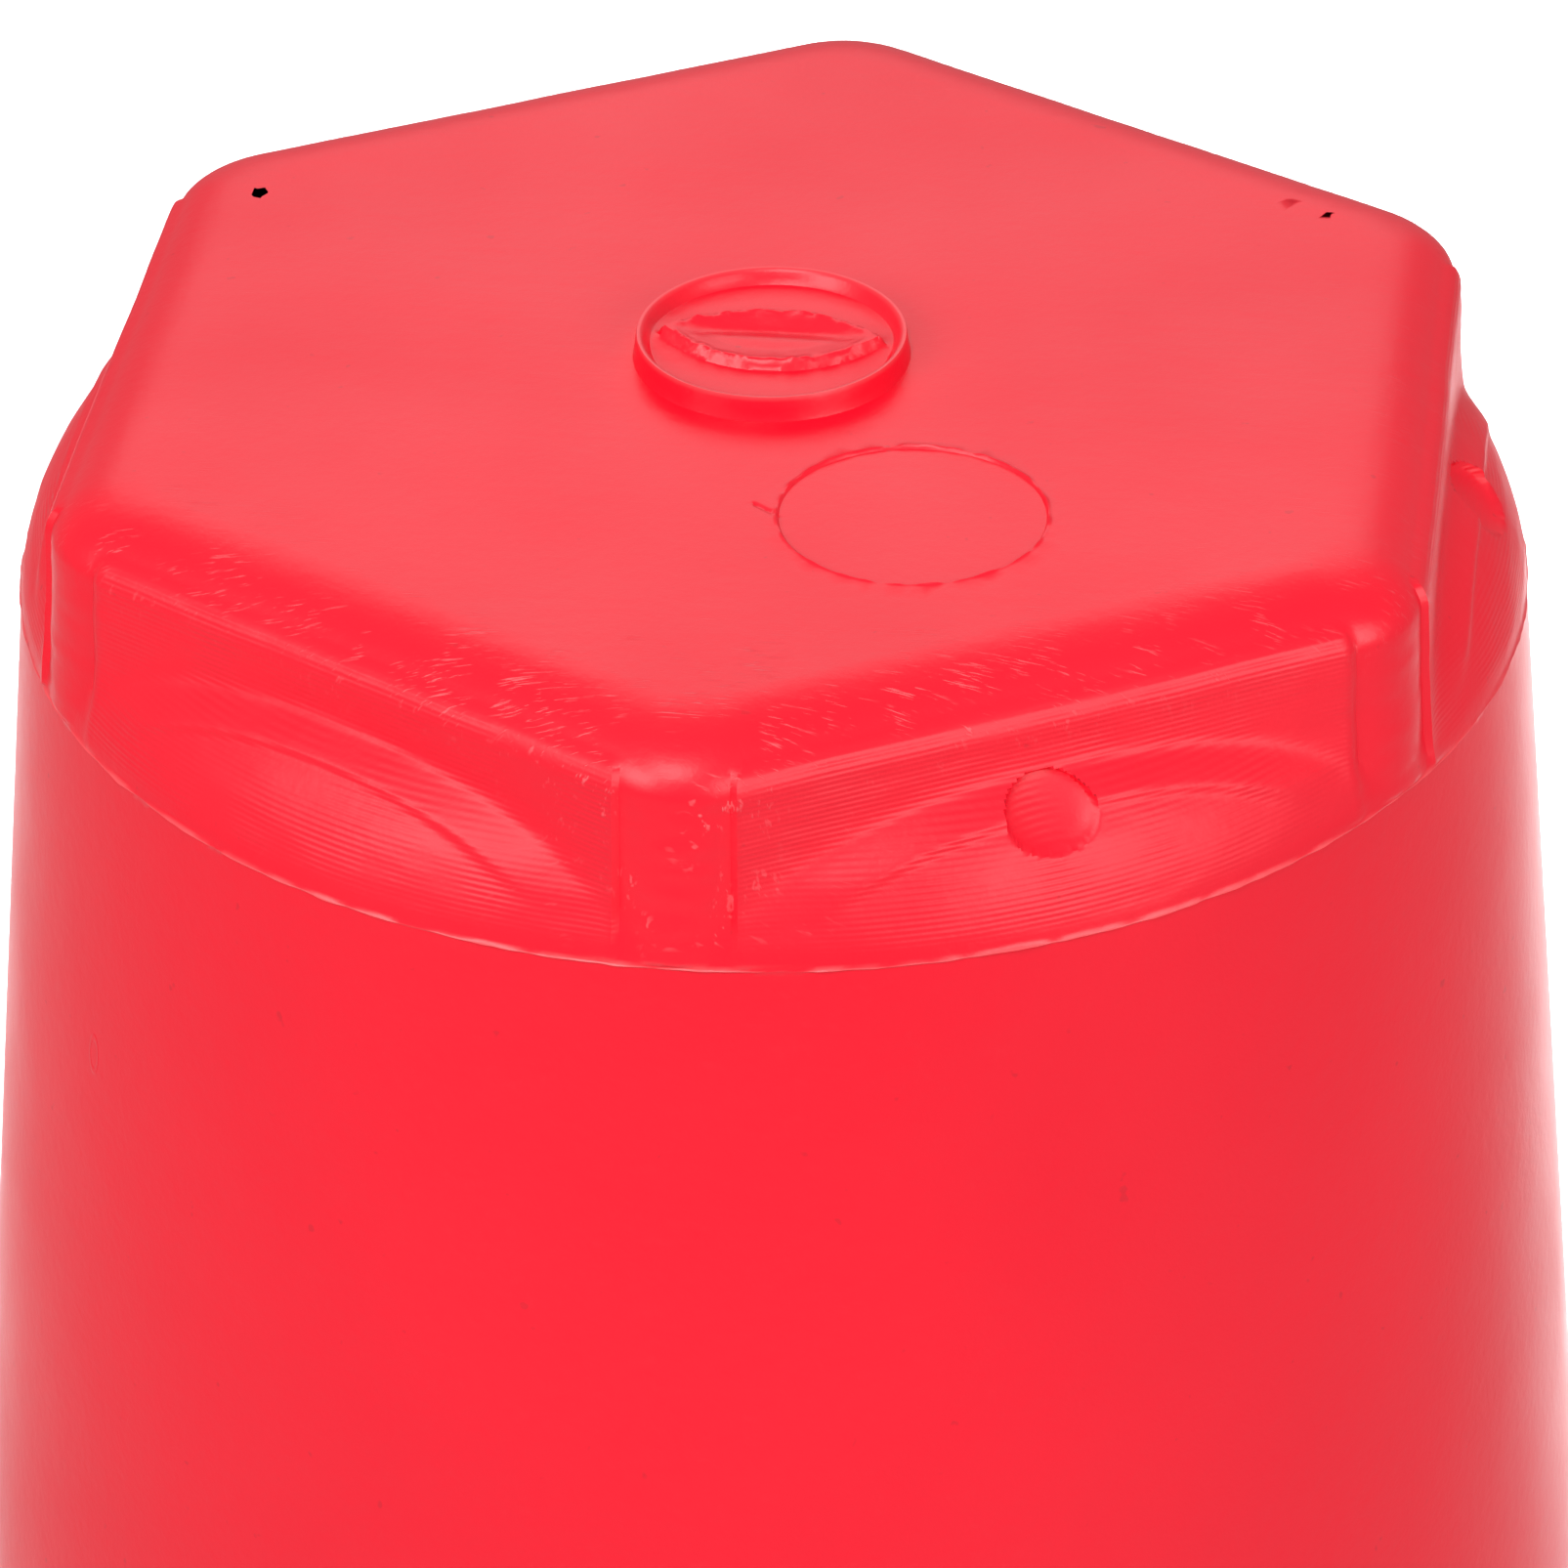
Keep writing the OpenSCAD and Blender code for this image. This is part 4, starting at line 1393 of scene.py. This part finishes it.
def build_drain_plug():
    """Screw plug with a round head and two wings for the fingers."""
    origin, direction = drain_frame()
    plastic = shared_plastic("yellow_plastic", tuple(finish().plug), 0.38)
    profile = [
        (0.0, -9.4, 0), (9.2, -9.4, 1.0), (9.2, 5.6, 0.3), (15.0, 5.6, 0.5), (15.0, 10.6, 1.6),
        (0.0, 10.6, 0),
    ]
    head_and_shank = lathe("plug_body", profile, origin, direction, plastic)
    outline = wing_outline()
    ring = [*outline, (WING_REACH, WING_FOOT), (-WING_REACH, WING_FOOT)]
    vertices = [(side, a, z) for side in (-2.5, 2.5) for a, z in ring]
    count = len(ring)
    faces = [tuple(range(count)), tuple(reversed(range(count, 2 * count)))]
    faces += [(i, (i + 1) % count, count + (i + 1) % count, count + i) for i in range(count)]
    wings = new_object("plug_wings", vertices, faces, plastic)
    finish_mesh(wings)
    bevel = wings.modifiers.new("soft_edges", "BEVEL")
    bevel.width = 0.9 * MM
    bevel.segments = 4
    bevel.limit_method = "ANGLE"
    bevel.angle_limit = math.radians(40)
    bpy.context.view_layer.update()
    baked(wings)
    wings.data.transform(axis_matrix(origin, direction))
    finish_mesh(wings, 40)
    thread = screw_ridge("plug_thread", 9.2, 1.0, 3.0, 1.5, -6.5, (1.6, 0.8), origin, direction, plastic)
    return joined("winged_drain_plug", [head_and_shank, wings, thread])


def build_sleeve(name, z):
    """Tube that carries a rail, with chamfered mouths."""
    half = boss_face(z) + 2.5
    plastic = shared_plastic("sleeve_plastic", (0.03, 0.03, 0.033), 0.38)
    profile = [
        (22.6, -half, 0), (24.5, -half, 0.5), (24.5, half, 0.5), (22.6, half, 0), (21.6, half - 1.2, 0),
        (21.6, 1.2 - half, 0), (22.6, -half, 0),
    ]
    return lathe(name, profile, (0, 0, z), (1, 0, 0), plastic, 128)


def build_grommet(name, side, z):
    """Rubber ring with a groove that grips the wall of the boss."""
    face = boss_face(z)
    profile = [
        (24.6, -5.5, 0), (31.5, -5.5, 0.8), (31.5, -3.1, 0.5), (27.4, -3.1, 0), (27.4, 0.0, 0),
        (31.5, 0.0, 0.3), (31.5, 1.2, 0.7), (29.0, 2.5, 0.8), (25.6, 2.5, 0.6), (24.6, 1.7, 0),
        (24.6, -5.5, 0),
    ]
    return lathe(name, profile, (side * face, 0, z), (side, 0, 0), black_rubber(), 128)


def build_band(name, low):
    """Band of sheeting with a bevelled edge and a lapped seam at the back."""
    s = sizes()
    sheeting = shared_material("reflective_sheeting", reflective_sheeting)
    columns = 360
    seam = math.radians(112)
    rings = []
    bottom, top = low + 0.1, low + s.band_width - 0.1
    levels = [(bottom, 0.4), (bottom, 0.12), (bottom + 0.3, 0.0), (top - 0.3, 0.0), (top, 0.12), (top, 0.4)]
    for z, deep in levels:
        ring = []
        for j in range(columns):
            azimuth = TAU * j / columns
            lap = step(-0.012, 0.0, math.remainder(azimuth - seam, TAU))
            lap *= 1 - step(0.1, 0.16, math.remainder(azimuth - seam, TAU))
            inward = deep + 0.072 * (1 - lap) if deep < 0.3 else deep
            ring.append(on_circle(column_r(z) - inward, azimuth, z))
        rings.append(ring)
    vertices = [p for ring in rings for p in ring]
    faces = ring_faces(len(rings), columns)
    last = (len(rings) - 1) * columns
    for j in range(columns):
        k = (j + 1) % columns
        faces.append((last + j, last + k, k, j))
    return finish_mesh(new_object(name, vertices, faces, sheeting), 40)


def build_foot_pad(name, centre):
    """Rubber pad with three tread grooves and a stud that presses into the body."""
    profile = [
        (0.0, 0.6, 0), (5.0, 0.6, 0.3), (5.4, 0.0, 0.3), (9.4, 0.0, 0.3), (9.8, 1.0, 0.2), (11.0, 1.0, 0.2),
        (11.4, 0.0, 0.3), (15.4, 0.0, 0.3), (15.8, 1.0, 0.2), (17.0, 1.0, 0.2), (17.4, 0.0, 0.3),
        (22.8, 0.0, 0.4), (24.0, 1.2, 0.6), (24.0, 4.0, 0.5), (4.9, 4.0, 0.4), (4.9, 12.0, 1.2),
        (0.0, 12.0, 0),
    ]
    return lathe(name, profile, centre, (0, 0, 1), black_rubber(), 72)


# ---------------------------------------------------------------- operators


class BARRIER_OT_body(bpy.types.Operator):
    """Builds the one-piece moulded body"""

    bl_idname = "barrier.body"
    bl_label = "Moulded Body"

    def execute(self, context):
        place_piece(build_body(), "post", "red_plastic", "body_shell")
        return {"FINISHED"}


class BARRIER_OT_filler(bpy.types.Operator):
    """Builds the filler's neck, gasket and screw cap"""

    bl_idname = "barrier.filler"
    bl_label = "Filler"

    def execute(self, context):
        place_piece(build_filler_neck(), "post", "neck_plastic", "filler_neck")
        place_piece(build_filler_gasket(), "filler_seal", "seal_rubber", "filler_gasket")
        place_piece(build_filler_cap(), "filler_screw_cap", "black_plastic", "filler_cap")
        return {"FINISHED"}


class BARRIER_OT_drain(bpy.types.Operator):
    """Builds the drain's fitting, sealing ring and screw plug"""

    bl_idname = "barrier.drain"
    bl_label = "Drain"

    def execute(self, context):
        place_piece(build_drain_fitting(), "post", "black_plastic", "drain_fitting")
        place_piece(build_drain_seal(), "drain_seal", "seal_rubber", "drain_oring")
        place_piece(build_drain_plug(), "drain_screw_plug", "plug_plastic", "drain_plug")
        return {"FINISHED"}


class BARRIER_OT_rails(bpy.types.Operator):
    """Builds the rail sleeves and the grommets that seal them"""

    bl_idname = "barrier.rails"
    bl_label = "Rail Sleeves and Grommets"

    def execute(self, context):
        for level, z in (("upper", sizes().rail_upper), ("lower", sizes().rail_lower)):
            sleeve = build_sleeve(f"rail_tube_{level}", z)
            place_piece(sleeve, "post", "sleeve_plastic", f"rail_sleeve_{level}")
            for side, hand in ((-1, "left"), (1, "right")):
                ring = build_grommet(f"rubber_ring_{level}_{hand}", side, z)
                place_piece(ring, "post", "seal_rubber", f"grommet_{level}_{hand}")
        return {"FINISHED"}


class BARRIER_OT_bands(bpy.types.Operator):
    """Builds the two reflective bands"""

    bl_idname = "barrier.bands"
    bl_label = "Reflective Bands"

    def execute(self, context):
        for level, z in (("upper", sizes().band_upper), ("lower", sizes().band_lower)):
            place_piece(build_band(f"sheeting_{level}", z), "post", "reflective_sheet", f"band_{level}")
        return {"FINISHED"}


class BARRIER_OT_pads(bpy.types.Operator):
    """Builds the six rubber foot pads"""

    bl_idname = "barrier.pads"
    bl_label = "Foot Pads"

    def execute(self, context):
        for number, centre in enumerate(pad_places(), 1):
            pad = build_foot_pad(f"rubber_pad_{number}", centre)
            place_piece(pad, "post", "pad_rubber", f"foot_pad_{number}")
        return {"FINISHED"}


def aim(obj, place, target, roll=0.0):
    """Puts obj at place and points its -Z axis at target."""
    turn = (Vector(target) - Vector(place)).to_track_quat("-Z", "Y").to_matrix()
    obj.matrix_world = Matrix.Translation(place) @ (turn @ Matrix.Rotation(roll, 3, "Z")).to_4x4()


def add_lamp(name, place, target, size, power, spread=180.0):
    lamp = bpy.data.lights.new(name, "AREA")
    lamp.shape = "RECTANGLE"
    lamp.size, lamp.size_y = size
    lamp.energy = power
    lamp.spread = math.radians(spread)
    obj = bpy.data.objects.new(name, lamp)
    bpy.context.scene.collection.objects.link(obj)
    aim(obj, place, target)


class BARRIER_OT_stage(bpy.types.Operator):
    """Builds the floor, the lights and the camera"""

    bl_idname = "barrier.stage"
    bl_label = "Studio"

    def execute(self, context):
        studio = context.scene.barrier_studio
        half = 6.0
        corners = [(-half, -half), (half, -half), (half, half), (-half, half)]
        mesh = bpy.data.meshes.new("studio_floor")
        mesh.from_pydata([(x, y, 0.0) for x, y in corners], [], [(0, 1, 2, 3)])
        mesh.materials.append(floor_paper())
        floor = bpy.data.objects.new("studio_floor", mesh)
        context.scene.collection.objects.link(floor)
        world = bpy.data.worlds.new("studio_world")
        world.use_nodes = True
        backdrop = world.node_tree.nodes["Background"]
        backdrop.inputs["Color"].default_value = (1, 1, 1, 1)
        backdrop.inputs["Strength"].default_value = studio.sky
        context.scene.world = world
        context.scene.view_settings.view_transform = "Standard"
        shoulder = shoulder_z() * MM
        add_lamp("key_softbox", (-0.9, -0.9, shoulder + 0.7), (0, 0, shoulder - 0.1), (0.7, 0.7), 9.0)
        add_lamp("front_softbox", (-0.2, -0.8, shoulder + 1.2), (0, 0, shoulder), (0.65, 0.65), 8.0)
        add_lamp("fill_softbox", (0.95, -0.75, shoulder + 0.35), (0, 0, shoulder - 0.1), (0.8, 0.8), 7.0)
        add_lamp("back_softbox", (-0.3, 2.6, shoulder + 1.7), (0, 0, shoulder), (2.4, 1.6), 12.0)
        add_lamp("floor_softbox", (0, 1.3, 1.0), (0, 1.301, 0), (0.8, 1.3), 18.0, 80.0)
        azimuth, elevation = math.radians(studio.azimuth), math.radians(studio.elevation)
        back = Vector((
            math.sin(azimuth) * math.cos(elevation),
            -math.cos(azimuth) * math.cos(elevation),
            math.sin(elevation),
        ))
        right = Vector((math.cos(azimuth), math.sin(azimuth), 0))
        target = right * studio.aim_side + Vector((0, 0, shoulder - studio.aim_drop))
        lens = bpy.data.cameras.new("studio_camera")
        lens.lens = studio.lens
        lens.sensor_width = 36.0
        lens.clip_start = 0.01
        camera = bpy.data.objects.new("studio_camera", lens)
        context.scene.collection.objects.link(camera)
        aim(camera, target + back * studio.distance, target, studio.roll)
        context.scene.camera = camera
        return {"FINISHED"}


class BARRIER_PT_panel(bpy.types.Panel):
    """Lists the barrier's sizes and builders"""

    bl_label = "Barrier Post"
    bl_idname = "BARRIER_PT_panel"
    bl_space_type = "VIEW_3D"
    bl_region_type = "UI"
    bl_category = "Barrier Post"

    def draw(self, context):
        for group in ("barrier_body", "barrier_head", "barrier_finish", "barrier_studio"):
            settings = getattr(context.scene, group)
            box = self.layout.box()
            for name in settings.__annotations__:
                box.prop(settings, name)
        for operator in OPERATORS:
            self.layout.operator(operator.bl_idname)


GROUPS = (
    ("barrier_body", BarrierBodySizes), ("barrier_head", BarrierHeadSizes),
    ("barrier_finish", BarrierFinish), ("barrier_studio", BarrierStudio),
)
OPERATORS = (
    BARRIER_OT_stage, BARRIER_OT_body, BARRIER_OT_bands, BARRIER_OT_rails,
    BARRIER_OT_filler, BARRIER_OT_drain, BARRIER_OT_pads,
)


def register():
    for name, group in GROUPS:
        bpy.utils.register_class(group)
        setattr(bpy.types.Scene, name, PointerProperty(type=group))
    for operator in (*OPERATORS, BARRIER_PT_panel):
        bpy.utils.register_class(operator)


def unregister():
    for operator in (*OPERATORS, BARRIER_PT_panel):
        bpy.utils.unregister_class(operator)
    for name, group in GROUPS:
        delattr(bpy.types.Scene, name)
        bpy.utils.unregister_class(group)


def main():
    register()
    for build in (
        bpy.ops.barrier.stage, bpy.ops.barrier.body, bpy.ops.barrier.bands, bpy.ops.barrier.rails,
        bpy.ops.barrier.filler, bpy.ops.barrier.drain, bpy.ops.barrier.pads,
    ):
        build()


if __name__ == "__main__":
    main()
